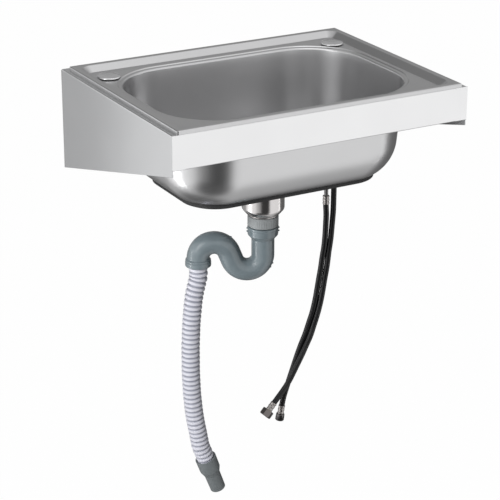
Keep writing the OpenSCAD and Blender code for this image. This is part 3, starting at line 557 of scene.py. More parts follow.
basinLow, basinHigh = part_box("sink_basin")
drainY = middleOf("strainer_flange")[1]
capNames = ("left_tap_cap", "right_tap_cap")
capLow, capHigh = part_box(capNames[0])
basin = {
    "sheet": 1.0 * mm,
    "rimFlat": 12.5 * mm,
    "rimHeight": 6.5 * mm,
    "rimBend": 2.8 * mm,
    "outerCorner": 2.2 * mm,
    "stepRun": 12.5 * mm,
    "stepDrop": 10 * mm,
    "stepCorner": 10 * mm,
    "stepBend": 1.8 * mm,
    "notch": 3.2 * mm,
    "ledgeWidth": 489 * mm,
    "ledgeDepth": 344 * mm,
    "ledgeCorner": 120 * mm,
    "ledgeDrop": 2 * mm,
    "ledgeFlat": 3.5 * mm,
    "ledgeBend": 1.4 * mm,
    "lipRadius": 4 * mm,
    "wallLean": radians(5.4),
    "floorRadius": 74 * mm,
    "bowlDrop": 188 * mm,
    "dishRadius": 59 * mm,
    "dishDrop": 4 * mm,
    "holeRadius": 36.7 * mm,
    "tapHole": 15 * mm,
    "dishBend": 3 * mm,
    "deckEdge": 2 * mm,  # from the step's foot to where the deck begins
    "ledgeEdge": 1.5 * mm,  # from the deck's end to the ledge
    "sharpestCorner": 0.02 * mm,
    "cornerSteps": 22,
    "sideSteps": 14,
    "lipSteps": 10,
    "wallSteps": 9,
    "floorSteps": 24,
}


def roundedLoop(width, depth, corner, middleY, z, first=None):
    # Points round a rectangle with rounded corners, as many for every size. The
    # first and last stretch of each side have the length given by first.
    loop = []
    corner = max(corner, basin["sharpestCorner"])
    for quarter in range(4):
        across, reach = (width, depth) if quarter % 2 == 0 else (depth, width)
        for k in range(basin["cornerSteps"] + 1):
            a = pi / 2 * k / basin["cornerSteps"]
            x = across / 2 - corner + corner * cos(a)
            y = reach / 2 - corner + corner * sin(a)
            loop.append((quarter, x, y))
        # side that follows the corner, from its end to the next corner's start
        straight = across - 2 * corner
        start = min(first / straight, 0.3) if first else 1 / basin["sideSteps"]
        for k in range(1, basin["sideSteps"]):
            share = start + (1 - 2 * start) * (k - 1) / (basin["sideSteps"] - 2)
            loop.append((quarter, across / 2 - corner - straight * share, reach / 2))
    quarterTurns = [(1, 0, 0, 1), (0, -1, 1, 0), (-1, 0, 0, -1), (0, 1, -1, 0)]
    made = []
    for quarter, x, y in loop:
        xx, xy, yx, yy = quarterTurns[quarter]
        made.append(Vector((xx * x + xy * y, middleY + yx * x + yy * y, z)))
    return made


def basinLoops():
    # Loops from the skirt's foot over rim, step, deck and ledge down to the drain hole
    width, depth = basinHigh.x - basinLow.x, basinHigh.y - basinLow.y
    deckY = (basinHigh.y + basinLow.y) / 2
    top = basinHigh.z
    deckTop = top - basin["stepDrop"]
    foot = basin["rimFlat"] + basin["stepRun"]
    rim = filleted([
        (0, top - basin["rimHeight"], 0), (0, top, basin["rimBend"]),
        (basin["rimFlat"], top, basin["stepBend"]), (foot, deckTop, basin["stepBend"]),
        (foot + basin["deckEdge"], deckTop, 0)], closed=False)
    loops, skirt = [], 0
    for inset, z in rim:
        if inset < basin["rimFlat"] / 2:
            corner = basin["outerCorner"] - inset
        else:
            corner = basin["stepCorner"] + foot - inset
        if z < top - basin["rimBend"]:
            skirt = len(loops)
        loops.append(roundedLoop(width - 2 * inset, depth - 2 * inset, corner, deckY, z, basin["notch"]))
    lip, lean, turn = basin["lipRadius"], basin["wallLean"], basin["floorRadius"]
    ledgeTop = deckTop - basin["ledgeDrop"]
    bowlFloor = top - basin["bowlDrop"]
    ledgeIn = basin["ledgeDrop"] + basin["ledgeFlat"]
    section = filleted([
        (-basin["ledgeEdge"], deckTop, 0), (0, deckTop, basin["ledgeBend"]),
        (basin["ledgeDrop"], ledgeTop, basin["ledgeBend"]), (ledgeIn, ledgeTop, 0)], closed=False)
    for k in range(1, basin["lipSteps"] + 1):
        a = pi / 2 - (pi / 2 - lean) * k / basin["lipSteps"]
        section.append((ledgeIn + lip * cos(a), ledgeTop - lip + lip * sin(a)))
    wallIn, wallTop = section[-1]
    wallFoot = bowlFloor + turn - turn * sin(lean)
    footIn = wallIn + (wallTop - wallFoot) * tan(lean)
    for k in range(1, basin["wallSteps"]):
        share = k / basin["wallSteps"]
        section.append((wallIn + (footIn - wallIn) * share, wallTop + (wallFoot - wallTop) * share))
    for k in range(basin["floorSteps"] + 1):
        a = lean + (pi / 2 - lean) * k / basin["floorSteps"]
        out = footIn + turn * (cos(lean) - cos(a))
        section.append((out, bowlFloor + turn - turn * sin(a)))
    for inset, z in section:
        across, along = basin["ledgeWidth"] - 2 * inset, basin["ledgeDepth"] - 2 * inset
        loops.append(roundedLoop(across, along, basin["ledgeCorner"] - inset, drainY, z))
    # round dish about the drain, on the angles of the floor's last loop
    angles = [atan2(p.y - drainY, p.x) for p in loops[-1]]
    bend = basin["dishBend"]
    dishTop, dishFloor = basin["dishRadius"] + basin["dishDrop"], bowlFloor - basin["dishDrop"]
    dish = filleted([
        (dishTop + bend, bowlFloor, 0), (dishTop, bowlFloor, bend),
        (basin["dishRadius"], dishFloor, bend), (basin["holeRadius"], dishFloor, 0)], closed=False)
    for r, z in dish:
        loops.append([Vector((r * cos(a), drainY + r * sin(a), z)) for a in angles])
    return loops, skirt


def makeBasin():
    loops, skirt = basinLoops()
    per = len(loops[0])
    # the skirt stays open at the two front corners
    kept = []
    for face in bridge(loops):
        if max(v // per for v in face) <= skirt + 1:
            x = sum(loops[v // per][v % per].x for v in face) / 4
            y = sum(loops[v // per][v % per].y for v in face) / 4
            if basinHigh.x - abs(x) < basin["notch"] and y - basinLow.y < basin["notch"]:
                continue
        kept.append(face)
    mesh = skin("pressed_basin", flat(loops), kept)
    made = placed("pressed_basin", mesh)
    mesh.shade_smooth()
    if mesh.polygons[len(kept) // 2].normal.z < 0:
        mesh.flip_normals()
    thickened(made, basin["sheet"])
    taps = [((*middleOf(name), capLow.z), (0, 0, 1), basin["tapHole"]) for name in capNames]
    drilled(made, taps, 2 * (capHigh.z - capLow.z))
    made.data.set_sharp_from_angle(angle=radians(50))
    paint(made, "basin")
    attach(made, "sink")
    return stands(made, "basin_steel", "sink_basin")


makeBasin()
print("basin made")

# Bracket: two side panels and an apron, folded from sheet

apronLow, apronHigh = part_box("front_apron")
bracket = {
    "sheet": 1.5 * mm,
    "bend": 2.4 * mm,
    "topFlange": 23 * mm,
    "frontHeight": 70 * mm,
    "boltHole": 5 * mm,
    "boltInset": 17 * mm,
    "boltRise": 130 * mm,
    "drillDepth": 12 * mm,
    "reliefDrop": 3.84 * mm,  # where the top bend ends, below the top
    "reliefRun": 4 * mm,  # and in front of the back
    "apronFold": 12 * mm,
    "apronSeat": 14.5 * mm,
    "endBend": 1.2 * mm,
    "endBreak": 0.2 * mm,
    "nick": 0.3 * mm,
    "apronEdge": 0.5 * mm,
    "edge": 0.25 * mm,
    "weld": 0.001 * mm,
}


def foldedSheet(name, corners, faces, folds, holes):
    # Outer skin of a folded sheet, whose fold edges are bent and which is then
    # thickened inward. Holes are (point, axis, radius).
    shape = bmesh.new()
    verts = [shape.verts.new(c) for c in corners]
    for face in faces:
        shape.faces.new([verts[i] for i in face])
    shape.verts.index_update()
    pairs = {frozenset(f) for f in folds}
    edges = [e for e in shape.edges if frozenset(v.index for v in e.verts) in pairs]
    bmesh.ops.bevel(shape, geom=edges, offset=bracket["bend"], segments=6, profile=0.5, affect="EDGES",
                    clamp_overlap=False)
    made = placed(name, meshFrom(name, shape))
    thickened(made, bracket["sheet"])
    drilled(made, holes, bracket["drillDepth"])
    made.data.name = name
    shadeSheet(made)
    softEdges(made, bracket["edge"])
    paint(made, "bracket")
    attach(made, "sink")
    return made


def makeSidePanel(side):
    # side is -1 on the left and 1 on the right. The faces' normals point out of
    # the bracket.
    hand = "left" if side < 0 else "right"
    low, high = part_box(hand + "_side_panel")
    out, flange = (low.x, high.x) if side < 0 else (high.x, low.x)
    seat = out - side * bracket["topFlange"]
    front, back, top, foot = low.y, high.y, high.z, low.z
    bendEnd, relief = top - bracket["reliefDrop"], back - bracket["reliefRun"]
    corners = [
        (out, back, foot), (out, back, bendEnd), (out, relief, top), (out, front, top),
        (out, front, top - bracket["frontHeight"]), (seat, relief, top), (seat, front, top),
        (flange, back, foot), (flange, back, bendEnd)]
    faces = [(0, 1, 2, 3, 4), (2, 5, 6, 3), (0, 7, 8, 1)]
    if side < 0:
        faces = [tuple(reversed(f)) for f in faces]
    bolt, rise = out - side * bracket["boltInset"], bracket["boltRise"] / 2
    holes = [((bolt, back, z), (0, 1, 0), bracket["boltHole"]) for z in (-rise, rise)]
    made = foldedSheet(hand + "_panel_sheet", corners, faces, [(2, 3), (0, 1)], holes)
    return stands(made, "bracket_steel", hand + "_side_panel")


def extruded(name, sections, material):
    # Closed sections of as many points each, lofted and capped
    per = len(sections[0])
    faces = bridge(sections)
    last = (len(sections) - 1) * per
    faces.append(tuple(range(per - 1, -1, -1)))
    faces.append(tuple(last + i for i in range(per)))
    return paint(newObject(name, flat(sections), faces, None, smoothAngle=30), material)


def makeApron():
    sheet, bend, nick = bracket["sheet"], bracket["bend"], bracket["nick"]
    front, back, low, top = apronLow.y, apronLow.y + sheet, apronLow.z, apronHigh.z
    left, right = apronLow.x, apronHigh.x
    seatLeft = left + bracket["topFlange"]
    seatBack, foldBack = apronLow.y + bracket["apronSeat"], back + bracket["apronFold"]
    inner = bend - sheet
    middle = filleted([
        (foldBack, low, nick), (front, low, bend), (front, top, bend), (seatBack, top, nick),
        (seatBack, top - sheet, nick), (back, top - sheet, inner), (back, low + sheet, inner),
        (foldBack, low + sheet, nick)])
    hem = front + 2 * sheet
    end = filleted([
        (hem, low, nick), (front, low, bend), (front, top, bracket["endBend"]),
        (back, top, bracket["endBreak"]), (back, low + sheet, inner), (hem, low + sheet, nick)])
    parts = []
    for name, outline, x0, x1 in (
            ("apron_middle", middle, seatLeft, -seatLeft), ("apron_left", end, left, seatLeft),
            ("apron_right", end, -seatLeft, right)):
        parts.append(extruded(name, [[Vector((x, y, z)) for y, z in outline] for x in (x0, x1)], "apron"))
    made = parts[0]
    made.name = "apron_sheet"
    combined(made, parts[1:], "UNION")
    made.data.name = "apron_sheet"
    shadeSheet(made)
    paint(made, "apron")
    weld = made.modifiers.new("weld", "WELD")
    weld.merge_threshold = bracket["weld"]
    softEdges(made, bracket["apronEdge"])
    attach(made, "sink")
    return stands(made, "bracket_steel", "front_apron")


for side in (-1, 1):
    makeSidePanel(side)
makeApron()
print("bracket made")

# Caps over the two tap holes

cap = {
    "radius": 21.5 * mm,
    "height": 4.0 * mm,
    "flatRadius": 14.0 * mm,
    "crownBend": 6 * mm,
    "shoulder": 2.2 * mm,  # above the deck
    "shoulderIn": 1 * mm,
    "shoulderBend": 1.2 * mm,
    "plate": 1 * mm,
    "centre": 0.01 * mm,
    "stemRadius": 13.0 * mm,
    "stemBore": 9.0 * mm,
    "threadPitch": 1.8 * mm,
    "threadDepth": 0.7 * mm,
    "threadRings": 7,
}


def makeCap(name):
    low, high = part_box(name)
    middle = at(*middleOf(name))
    seat = high.z - cap["height"]
    centre = cap["centre"]
    profile = [(centre, high.z), (cap["flatRadius"] * 0.6, high.z)] + filleted([
        (cap["flatRadius"], high.z, cap["crownBend"]),
        (cap["radius"] - cap["shoulderIn"], seat + cap["shoulder"], cap["shoulderBend"]),
        (cap["radius"], seat, 0.5 * mm), (cap["stemRadius"], seat, 0)], closed=False, steps=6)
    count = int((seat - low.z) / cap["threadPitch"] * cap["threadRings"])
    for k in range(count + 1):
        phase = (k % cap["threadRings"]) / cap["threadRings"]
        depth = cap["threadDepth"] * (1 - abs(2 * phase - 1))
        profile.append((cap["stemRadius"] - depth, seat + (low.z - seat) * k / count))
    bottom = seat - cap["plate"]
    profile += [(cap["stemBore"], low.z), (cap["stemBore"], bottom), (centre, bottom)]
    made = turned(name + "_chrome", profile, "sink", "cap", middle, sides=72, closed=False, smoothAngle=45)
    return stands(made, "cap_chrome", name)


for name in capNames:
    makeCap(name)
print("caps made")

# Strainer cup under the bowl, and the union nut

cupLow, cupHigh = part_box("strainer_cup")
nutLow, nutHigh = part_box("union_nut")
cup = {
    "radius": 38.5 * mm,
    "wall": 1.5 * mm,
    "flange": 50 * mm,
    "foot": 30.5 * mm,
    "straight": 51.5 * mm,
    "taper": 11.5 * mm,
    "footRound": 9 * mm,
    "neck": 23 * mm,
    "step": 1.2 * mm,
    "bore": 20 * mm,
    "bead": 26.4 * mm,
}


def makeCup():
    wall, radius, neckRadius = cup["wall"], cup["radius"], cup["neck"]
    top = cupHigh.z
    foot = top - cup["straight"]
    neck = foot - cup["taper"]
    step, flange = neckRadius + cup["step"], cup["flange"]
    profile = filleted([
        (radius - wall, top, 0.3 * mm), (flange, top, 0.4 * mm), (flange, top - wall, 0.4 * mm),
        (radius, top - wall, 1.2 * mm), (radius, foot + 2 * mm, cup["footRound"]),
        (cup["foot"], neck + 4.2 * mm, 2 * mm), (step, neck + 3.0 * mm, 1 * mm),
        (step, neck + 2.2 * mm, 0.3 * mm),
        (cup["bead"], neck + 1.4 * mm, 0.8 * mm), (cup["bead"], neck + 0.4 * mm, 0.6 * mm),
        (neckRadius, neck, 0.2 * mm), (neckRadius, cupLow.z, 0.5 * mm), (cup["bore"], cupLow.z, 0.4 * mm),
        (cup["bore"], neck + wall + 3 * mm, 1 * mm), (cup["foot"] - 3 * mm, neck + wall + 4 * mm, 2 * mm),
        (radius - wall, foot, 4 * mm)], steps=6)
    made = turned("cup_chrome_shell", profile, "sink", "chrome", at(0, drainY), sides=128, smoothAngle=50)
    return stands(made, "strainer_chrome", "strainer_cup")


nut = {
    "radius": 28 * mm,
    "ribs": 40,
    "stepsPerRib": 6,
    "ribDepth": 0.5 * mm,
    "ribStart": 2.4 * mm,  # above the nut's foot
    "ribEnd": 2.6 * mm,  # below its top
    "ribFade": 0.8 * mm,
    "thread": 23.3 * mm,
    "lipHole": 20.8 * mm,
    "lip": 2.8 * mm,
}


def makeUnionNut():
    low, high = nutLow.z, nutHigh.z
    radius, thread, hole = nut["radius"], nut["thread"], nut["lipHole"]
    profile = filleted([
        (hole, low, 0.3 * mm), (radius, low, 1.6 * mm), (radius, high, 1.8 * mm), (thread, high, 0.5 * mm),
        (thread, low + nut["lip"], 0.3 * mm), (hole, low + nut["lip"], 0.3 * mm)], steps=5)
    sides = nut["ribs"] * nut["stepsPerRib"]
    place = at(0, drainY)
    rings = lathe(profile, sides, place)
    # the straight side gets rows of its own, so that its ribs fade out at both ends
    middle = (low + high) / 2
    before = max(i for i, (r, z) in enumerate(profile) if r > radius - 0.01 * mm and z < middle)
    start, end, fade = low + nut["ribStart"], high - nut["ribEnd"], nut["ribFade"]
    ribbed = []
    for row, deep in ((start, 0), (start + fade, 1), (end - fade, 1), (end, 0)):
        depth = deep * nut["ribDepth"] / 2
        ribbed.append(circle(sides, row, lambda a: radius - depth * (1 - cos(nut["ribs"] * a)), place))
    made = lofted("union_nut_moulding", rings[:before + 1] + ribbed + rings[before + 1:], "union_nut", 50)
    return stands(paint(made, "nut"), "nut_plastic", "union_nut")


makeCup()
makeUnionNut()
print("cup and nut made")

# Trap: collar, U bend, crown and outlet socket, in one moulding

trap = {
    "top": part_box("trap_washer")[0].z,
    "turn": radians(25),  # towards the wall
    "pipe": 20.5 * mm,
    "wall": 2.5 * mm,
    "flange": 22.7 * mm,
    "flangeHeight": 2.5 * mm,
    "collar": 28 * mm,
    "collarHeight": 16 * mm,
    "collarTaper": 8 * mm,
    "nutFoot": nutLow.z,
    "bendRadius": 28.5 * mm,
    "straight": 31.5 * mm,  # from the taper to the first bend
    "lean": radians(22),
    "leg": 19 * mm,
    "socket": 23.25 * mm,
    "socketLength": 15 * mm,
    "socketBore": 18.55 * mm,
    "socketGroove": 4 * mm,  # below the socket's top
    "seamHeight": 0.35 * mm,
    "seamWidth": 0.5 * mm,
    "lug": (2.2 * mm, 1.8 * mm, 1.6 * mm),  # half sizes
    "lugDrops": (4.2 * mm, 10.2 * mm),  # below the collar's top
    "bendLugs": (-31, -21),  # degrees round the bend
    "crownLugs": (118, 52),
    "nick": 0.3 * mm,
    "bendSteps": 36,
    "legSteps": 4,
}
trapPlace = at(0, drainY) @ Matrix.Rotation(-trap["turn"], 4, "Z")


def trapCentres():
    # Height of the collar, and the centres (x, z) of the two bends
    bend, leg, lean = trap["bendRadius"], trap["leg"], trap["lean"]
    collarTop = trap["nutFoot"] - trap["wall"] / 2
    bendZ = collarTop - trap["collarHeight"] - trap["collarTaper"] - trap["straight"]
    crownX = -bend - 2 * bend * cos(lean) - leg * sin(lean)
    crownZ = bendZ - 2 * bend * sin(lean) + leg * cos(lean)
    return collarTop, (-bend, bendZ), (crownX, crownZ)


def trapStations():
    # (x, z, tangent x, tangent z, radius) along the middle of the pipe
    r, pipe, bore = trap["bendRadius"], trap["pipe"], trap["pipe"] - trap["wall"]
    flange, collar, nick = trap["flange"], trap["collar"], trap["nick"]
    collarTop, (bendX, bendZ), (crownX, crownZ) = trapCentres()
    collarFoot = collarTop - trap["collarHeight"]
    flangeFoot = trap["top"] - trap["flangeHeight"]
    outside = filleted([
        (flange, trap["top"], nick), (flange, flangeFoot, nick), (pipe, flangeFoot, 0.2 * mm),
        (pipe, collarTop, 0.2 * mm), (collar, collarTop, 1.2 * mm), (collar, collarTop - 4.5 * mm, nick),
        (collar - 0.5 * mm, collarTop - 5.0 * mm, nick), (collar - 0.7 * mm, collarFoot, 2 * mm),
        (pipe, collarFoot - trap["collarTaper"], 2.5 * mm), (pipe, bendZ, 0)], closed=False)
    stations = [(0, z, 0, -1, radius) for radius, z in outside]
    steps, sweep = trap["bendSteps"], pi - trap["lean"]
    for k in range(1, steps + 1):
        a = -sweep * k / steps
        ux, uz = cos(a), sin(a)
        stations.append((bendX + r * ux, bendZ + r * uz, uz, -ux, pipe))
    x, z, ux, uz = stations[-1][:4]
    for k in range(1, trap["legSteps"] + 1):
        far = trap["leg"] * k / trap["legSteps"]
        stations.append((x + ux * far, z + uz * far, ux, uz, pipe))
    for k in range(1, steps + 1):
        a = trap["lean"] + sweep * k / steps
        ux, uz = cos(a), sin(a)
        stations.append((crownX + r * ux, crownZ + r * uz, -uz, ux, pipe))
    end, seat = crownZ - trap["socketLength"], crownZ - trap["wall"]
    groove = seat - trap["socketGroove"]
    socket, inside = trap["socket"], trap["socketBore"]
    sleeve = filleted([
        (pipe, crownZ + 0.5 * mm, 0), (pipe, crownZ - 0.3 * mm, 0.6 * mm),
        (socket - 0.4 * mm, seat, 0.8 * mm),
        (socket - 0.4 * mm, groove + 1.6 * mm, 0.2 * mm), (socket - 0.9 * mm, groove + 1.0 * mm, 0.2 * mm),
        (socket, groove + 0.2 * mm, nick), (socket, end, 0.9 * mm), (inside, end, 0.4 * mm),
        (inside, seat, 0.2 * mm), (bore, seat, 0.2 * mm), (bore, crownZ, 0)], closed=False)
    stations += [(crownX - r, height, 0, -1, radius) for radius, height in sleeve[1:]]
    # bore, back along the same line
    back = []
    for px, pz, tx, tz, radius in reversed(stations):
        on = abs(radius - pipe) < 1e-9 and pz < bendZ + 20 * mm
        if on and (abs(px) > 0.1 * mm or pz <= bendZ + 0.1 * mm):
            back.append((px, pz, tx, tz, bore))
    back.append((0, trap["top"], 0, -1, bore))
    return stations + back


def seamAngles():
    # Ring angles, closer together beside the two mould seams at 0 and 180 degrees
    half = [0, 0.7, 1.6, 3.0, 5.0] + list(range(9, 172, 6)) + [175, 177, 178.4, 179.3]
    return [radians(a) for a in half] + [radians(a + 180) for a in half]


def makeTrap():
    angles = seamAngles()
    rings = []
    for x, z, tx, tz, radius in trapStations():
        ring = []
        for a in angles:
            r = radius
            if radius > trap["pipe"] - 0.1 * mm:
                off = abs(sin(a)) * radius
                r += trap["seamHeight"] * exp(-(off / trap["seamWidth"]) ** 2)
            across = Vector((-tz * cos(a), sin(a), tx * cos(a)))
            ring.append(trapPlace @ (Vector((x, 0, z)) + r * across))
        rings.append(ring)
    return stands(paint(lofted("trap_moulding", rings, "trap", 50), "trap"), "trap_plastic", "trap")


def makeLugs():
    # Small lugs that the mould left along its parting line
    collarTop, bendCentre, crownCentre = trapCentres()
    outside = trap["bendRadius"] + trap["pipe"]
    spots = [(side * trap["collar"], collarTop - drop) for side in (-1, 1) for drop in trap["lugDrops"]]
    for (x, z), angles in ((bendCentre, trap["bendLugs"]), (crownCentre, trap["crownLugs"])):
        spots += [(x + outside * cos(a), z + outside * sin(a)) for a in map(radians, angles)]
    shape = bmesh.new()
    size = Matrix.Diagonal((*trap["lug"], 1))
    for x, z in spots:
        bmesh.ops.create_uvsphere(shape, u_segments=16, v_segments=10, radius=1,
                                  matrix=trapPlace @ at(x, 0, z) @ size)
    mesh = meshFrom("trap_mould_lugs", shape)
    mesh.shade_smooth()
    made = paint(placed("trap_mould_lugs", mesh), "trap")
    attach(made, "trap")


makeTrap()
makeLugs()
print("trap made")

# Cuff on the end of the waste hose

cuff = {
    "mouth": 17.4 * mm,
    "wide": 20.0 * mm,
    "wideLength": 28 * mm,
    "taper": 12 * mm,
    "spigot": 14.5 * mm,
    "spigotLength": 36 * mm,
    "bore": 11 * mm,
}


def makeCuff():
    mouth, wide, spigot, bore = cuff["mouth"], cuff["wide"], cuff["spigot"], cuff["bore"]
    seat = cuff["wideLength"] / 2
    neck = seat + cuff["taper"]
    end = neck + cuff["spigotLength"]
    profile = filleted([
        (mouth, -seat, 0.6 * mm), (wide, -seat, 0.8 * mm), (wide - 0.5 * mm, seat - 1 * mm, 5 * mm),
        (spigot + 0.6 * mm, neck - 1 * mm, 6 * mm), (spigot, end, 2.2 * mm), (bore, end, 0.8 * mm),
        (bore, 0, 0.4 * mm), (mouth, 0, 0.4 * mm)], steps=6)
    place = onRoute(drainHose, len(drainHose["route"]) - 1)
    return stands(turned("hose_cuff_moulding", profile, "trap", "cuff", place), "cuff_plastic", "hose_cuff")


cuffPiece = makeCuff()
print("cuff made")

# Ends of the supply hoses: crimped ferrules and swivel nuts

ferrule = {
    "radius": 6.5 * mm,
    "length": 17 * mm,
    "bore": 5.55 * mm,
    "grooves": (3 * mm, 10.2 * mm),
    "grooveWidth": 3.8 * mm,
    "grooveSlope": 0.8 * mm,
    "grooveDepth": 0.55 * mm,
    "edge": 0.3 * mm,
}
swivel = {
    "height": 14 * mm,
    "start": 0.3 * mm,  # from the hose's end
    "neck": 5.8 * mm,
    "edge": 0.2 * mm,
    "threadPitch": 1.4 * mm,
    "threadDepth": 0.35 * mm,
    "chamfer": 1.5,
    "rowShares": (1.0, 0.98, 0.94, 0.88, 0.5, 0.12, 0.06, 0.02, 0.0),  # of the height
    "sides": 96,
    "rows": 40,
}
nuts = {
    "small": {
        "flats": 15 * mm, "bore": 6.3 * mm, "well": 6.78 * mm, "flange": 8.3 * mm, "finish": "smallNut"},
    "large": {
        "flats": 20.6 * mm, "bore": 7.5 * mm, "well": 8.62 * mm, "flange": 0, "finish": "largeNut"},
}


def makeFerrule(size, end, place, back):
    # Crimped tube, from back along the hose, with two pressed grooves
    radius, bore, slope = ferrule["radius"], ferrule["bore"], ferrule["grooveSlope"]
    floor, edge, front = radius - ferrule["grooveDepth"], ferrule["edge"], back + ferrule["length"]
    profile = [(bore, back, 0.1 * mm), (radius, back, 0.4 * mm)]
    for start in ferrule["grooves"]:
        first, last = back + start, back + start + ferrule["grooveWidth"]
        profile += [(radius, first, edge), (floor, first + slope, edge)]
        profile += [(floor, last - slope, edge), (radius, last, edge)]
    profile += [(radius, front, 0.4 * mm), (bore, front, 0.1 * mm)]
    name = size + "_" + end + "_ferrule"
    made = turned(name + "_crimp", filleted(profile, steps=3), "sink", "ferrule", place, sides=48)
    return stands(made, "ferrule_steel", name)


def makeSwivelNut(size, place):
    # Hexagon with chamfered corners, a floor that turns on the hose, a well and a thread
    sizes = nuts[size]
    across, tall, bore, well = sizes["flats"] / 2, swivel["height"], sizes["bore"], sizes["well"]
    sides, rows, start, neck = swivel["sides"], swivel["rows"], swivel["start"], swivel["neck"]
    floor, thread, edge = start + tall / 4, start + tall * 5 / 8, swivel["edge"]
    rings = []
    for share in swivel["rowShares"]:
        cone = across + min(share, 1 - share) * tall * swivel["chamfer"]

        def outside(a):
            if sizes["flange"] and share < 0.15:
                return sizes["flange"] - (2 * edge if share < 0.03 else 0)
            return min(across / cos((a % (pi / 3)) - pi / 6), cone)

        rings.append(circle(sides, start + tall * share, outside, place))
    inner = filleted([
        (neck, start, edge), (neck, floor, edge), (well, floor, edge), (well, thread, edge),
        (bore, thread + edge, 0)], closed=False)
    rings += lathe(inner, sides, place)
    first, last = thread + 0.3 * mm, start + tall
    for k in range(rows + 1):
        z = first + (last - first) * k / rows

        def inside(a):
            phase = (z / swivel["threadPitch"] + a / (2 * pi)) % 1
            return bore + swivel["threadDepth"] * (1 - abs(2 * phase - 1))

        rings.append(circle(sides, z, inside, place))
    name = size + "_swivel_nut"
    made = lofted(name + "_hexagon", rings, name, 28)
    return stands(paint(made, sizes["finish"]), "swivel_nut_chrome", name)


def dressSupplyHose(size, hose):
    last = len(hose["route"]) - 1
    top = makeFerrule(size, "top", onRoute(hose, 0), 0)
    foot = makeFerrule(size, "end", onRoute(hose, last), -ferrule["length"])
    nutPiece = makeSwivelNut(size, onRoute(hose, last))


for size, (sheath, length) in sheaths.items():
    dressSupplyHose(size, supplyHoses[size])
print("hose ends made")

# Finishes of the CAD nodes that stay

nodeFinish = {
    "pad": ["sound_pad"],
    "bracket": ["back_rail"],
    "ferrule": ["rail_rivets"],
    "rubber": [
        "left_cap_gasket", "right_cap_gasket", "left_deck_washer", "right_deck_washer", "flange_seal",
        "cup_gasket", "basket_stopper", "trap_washer", "outlet_seal", "small_nut_washer",
        "large_nut_washer"],
    "backnut": ["left_backnut", "right_backnut"],
    "brass": ["supply_manifold", "small_insert", "large_insert"],
    "smallNut": ["long_tail_pipe", "short_tail_pipe"],
    "chrome": ["strainer_flange", "strainer_screw", "strainer_basket", "basket_knob"],
}

for look, nodes in nodeFinish.items():
    for name in nodes:
        paint(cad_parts[name], look)
print("nodes finished")

# Studio: pale floor, soft lamps and a plain world

studio = {
    "floor": -1900 * mm,
    "floorHalf": 30.0,
    "floorColour": (0.93, 0.93, 0.935),
    "shadowShare": 0.012,  # of the floor's real light that the camera sees
    "worldLight": 0.22,
    "mirrored": 0.74,  # grey that metal sees where no patch lies
}
# Patches of the studio that metal mirrors: middle, cosines where the patch
# starts and is full, and its level
patches = {
    "ceiling": ((0.0, -0.2, 1.0), 0.45, 0.85, 0.60),
    "ceilingLamp": ((0.45, -0.19, 0.87), 0.86, 0.96, 1.05),
    "backWall": ((0.453, 0.811, 0.37), 0.82, 0.94, 0.44),
    "leftWall": ((-0.27, 0.81, 0.52), 0.90, 0.97, 0.20),
    "leftHorizon": ((-0.60, 0.80, 0.02), 0.93, 0.985, 1.20),
    "frontFloor": ((0.50, -0.80, -0.22), 0.45, 0.80, 1.12),
    "rightFoot": ((0.60, 0.10, -0.80), 0.75, 0.93, 0.62),
    "underneath": ((-0.33, -0.50, -0.80), 0.80, 0.94, 0.12),
    "floorBelow": ((-0.05, 0.35, -0.94), 0.90, 0.975, 0.15),
    "wallFoot": ((0.50, 0.78, -0.40), 0.72, 0.94, 0.10),
    "rightBack": ((0.87, 0.33, -0.37), 0.74, 0.93, 0.16),
    "leftWindow": ((-0.92, 0.15, -0.37), 0.80, 0.95, 1.15),
    "panelSide": ((-0.453, 0.811, -0.37), 0.85, 0.97, 0.49),
    "cameraSide": ((-0.27, -0.89, -0.37), 0.88, 0.975, 0.06),
}
# Lamps: place, target, size, power, and whether matt and glossy surfaces show them
lamps = {
    "overheadSoftbox": ((-0.5, -0.9, 2.2), (0, -0.2, 0), (2.0, 1.6), 14.0, True, True),
    "leftSoftbox": ((-2.5, -1.0, 0.7), (0, -0.2, -0.3), (1.0, 1.4), 10.0, True, True),
    "leftFill": ((-2.4, -1.4, 0.5), (0, -0.2, -0.3), (1.2, 1.6), 74.0, True, False),
    "leftStrip": ((-1.74, 0.24, -0.7), (0, -0.2, -0.35), (0.10, 1.8), 5.0, False, True),
    "rightStrip": ((1.66, -0.90, -0.7), (0, -0.2, -0.35), (0.10, 1.8), 1.0, False, True),
    "panelCard": ((-0.58, 0.05, -0.2), (-0.28, 0.05, -0.2), (0.6, 0.75), 0.66, False, True),
}


def lightPath(tree):
    return addNode(tree, "ShaderNodeLightPath").outputs


def mixShader(tree, share, first, second):
    return addNode(tree, "ShaderNodeMixShader", {"Fac": share, 1: first, 2: second}).outputs[0]


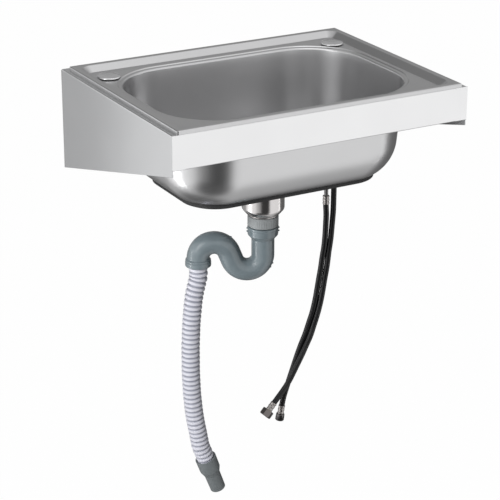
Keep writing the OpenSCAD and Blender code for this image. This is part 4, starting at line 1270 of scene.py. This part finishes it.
def addFloor():
    half, z = studio["floorHalf"], studio["floor"]
    corners = [(-half, -half, z), (half, -half, z), (half, half, z), (-half, half, z)]
    floor = placed("floor", skin("floor", corners, [(0, 1, 2, 3)]))
    made, tree, surface = startMaterial("floorWhite", studio["floorColour"], 0.0, 0.9)
    glow = addNode(tree, "ShaderNodeEmission", {"Color": (1, 1, 1, 1), "Strength": 1.0})
    share = reckon(tree, "MULTIPLY", lightPath(tree)["Is Camera Ray"], 1 - studio["shadowShare"])
    mixed = mixShader(tree, share, surface.outputs["BSDF"], glow.outputs["Emission"])
    tree.links.new(mixed, tree.nodes["Material Output"].inputs["Surface"])
    floor.data.materials.append(made)
    floor.visible_glossy = False


def addWorld():
    # White behind the object, an even light, and a patched grey room for metal
    world = bpy.data.worlds.new("studioWorld")
    bpy.context.scene.world = world
    world.use_nodes = True
    tree = world.node_tree
    tree.nodes.clear()

    def background(strength):
        made = addNode(tree, "ShaderNodeBackground", {"Color": (1, 1, 1, 1), "Strength": strength})
        return made.outputs[0]

    place = addNode(tree, "ShaderNodeTexCoord").outputs["Generated"]
    level = studio["mirrored"]
    for middle, start, full, value in patches.values():
        dot = addNode(tree, "ShaderNodeVectorMath", {
            0: place, 1: Vector(middle).normalized()}, operation="DOT_PRODUCT")
        share = addNode(tree, "ShaderNodeMapRange", {
            "Value": dot.outputs["Value"], "From Min": start, "From Max": full},
            interpolation_type="SMOOTHSTEP")
        mix = addNode(tree, "ShaderNodeMix", {
            "Factor": share.outputs["Result"], "A": level, "B": value}, data_type="FLOAT")
        level = mix.outputs["Result"]
    path = lightPath(tree)
    byGloss = mixShader(tree, path["Is Glossy Ray"], background(studio["worldLight"]), background(level))
    byCamera = mixShader(tree, path["Is Camera Ray"], byGloss, background(1.0))
    addNode(tree, "ShaderNodeOutputWorld", {"Surface": byCamera})


def addLamp(name, place, target, size, power, onMatt, onGloss):
    data = bpy.data.lights.new(name, "AREA")
    data.shape = "RECTANGLE"
    data.size, data.size_y = size
    data.energy = power
    lamp = placed(name, data)
    lamp.location = place
    lamp.rotation_mode = "QUATERNION"
    lamp.rotation_quaternion = (Vector(target) - Vector(place)).to_track_quat("-Z", "Y")
    lamp.visible_camera = False
    lamp.visible_diffuse = onMatt
    lamp.visible_glossy = onGloss


addFloor()
addWorld()
for name, lamp in lamps.items():
    addLamp(name, *lamp)
bpy.context.scene.view_settings.view_transform = "Standard"
print("studio set")
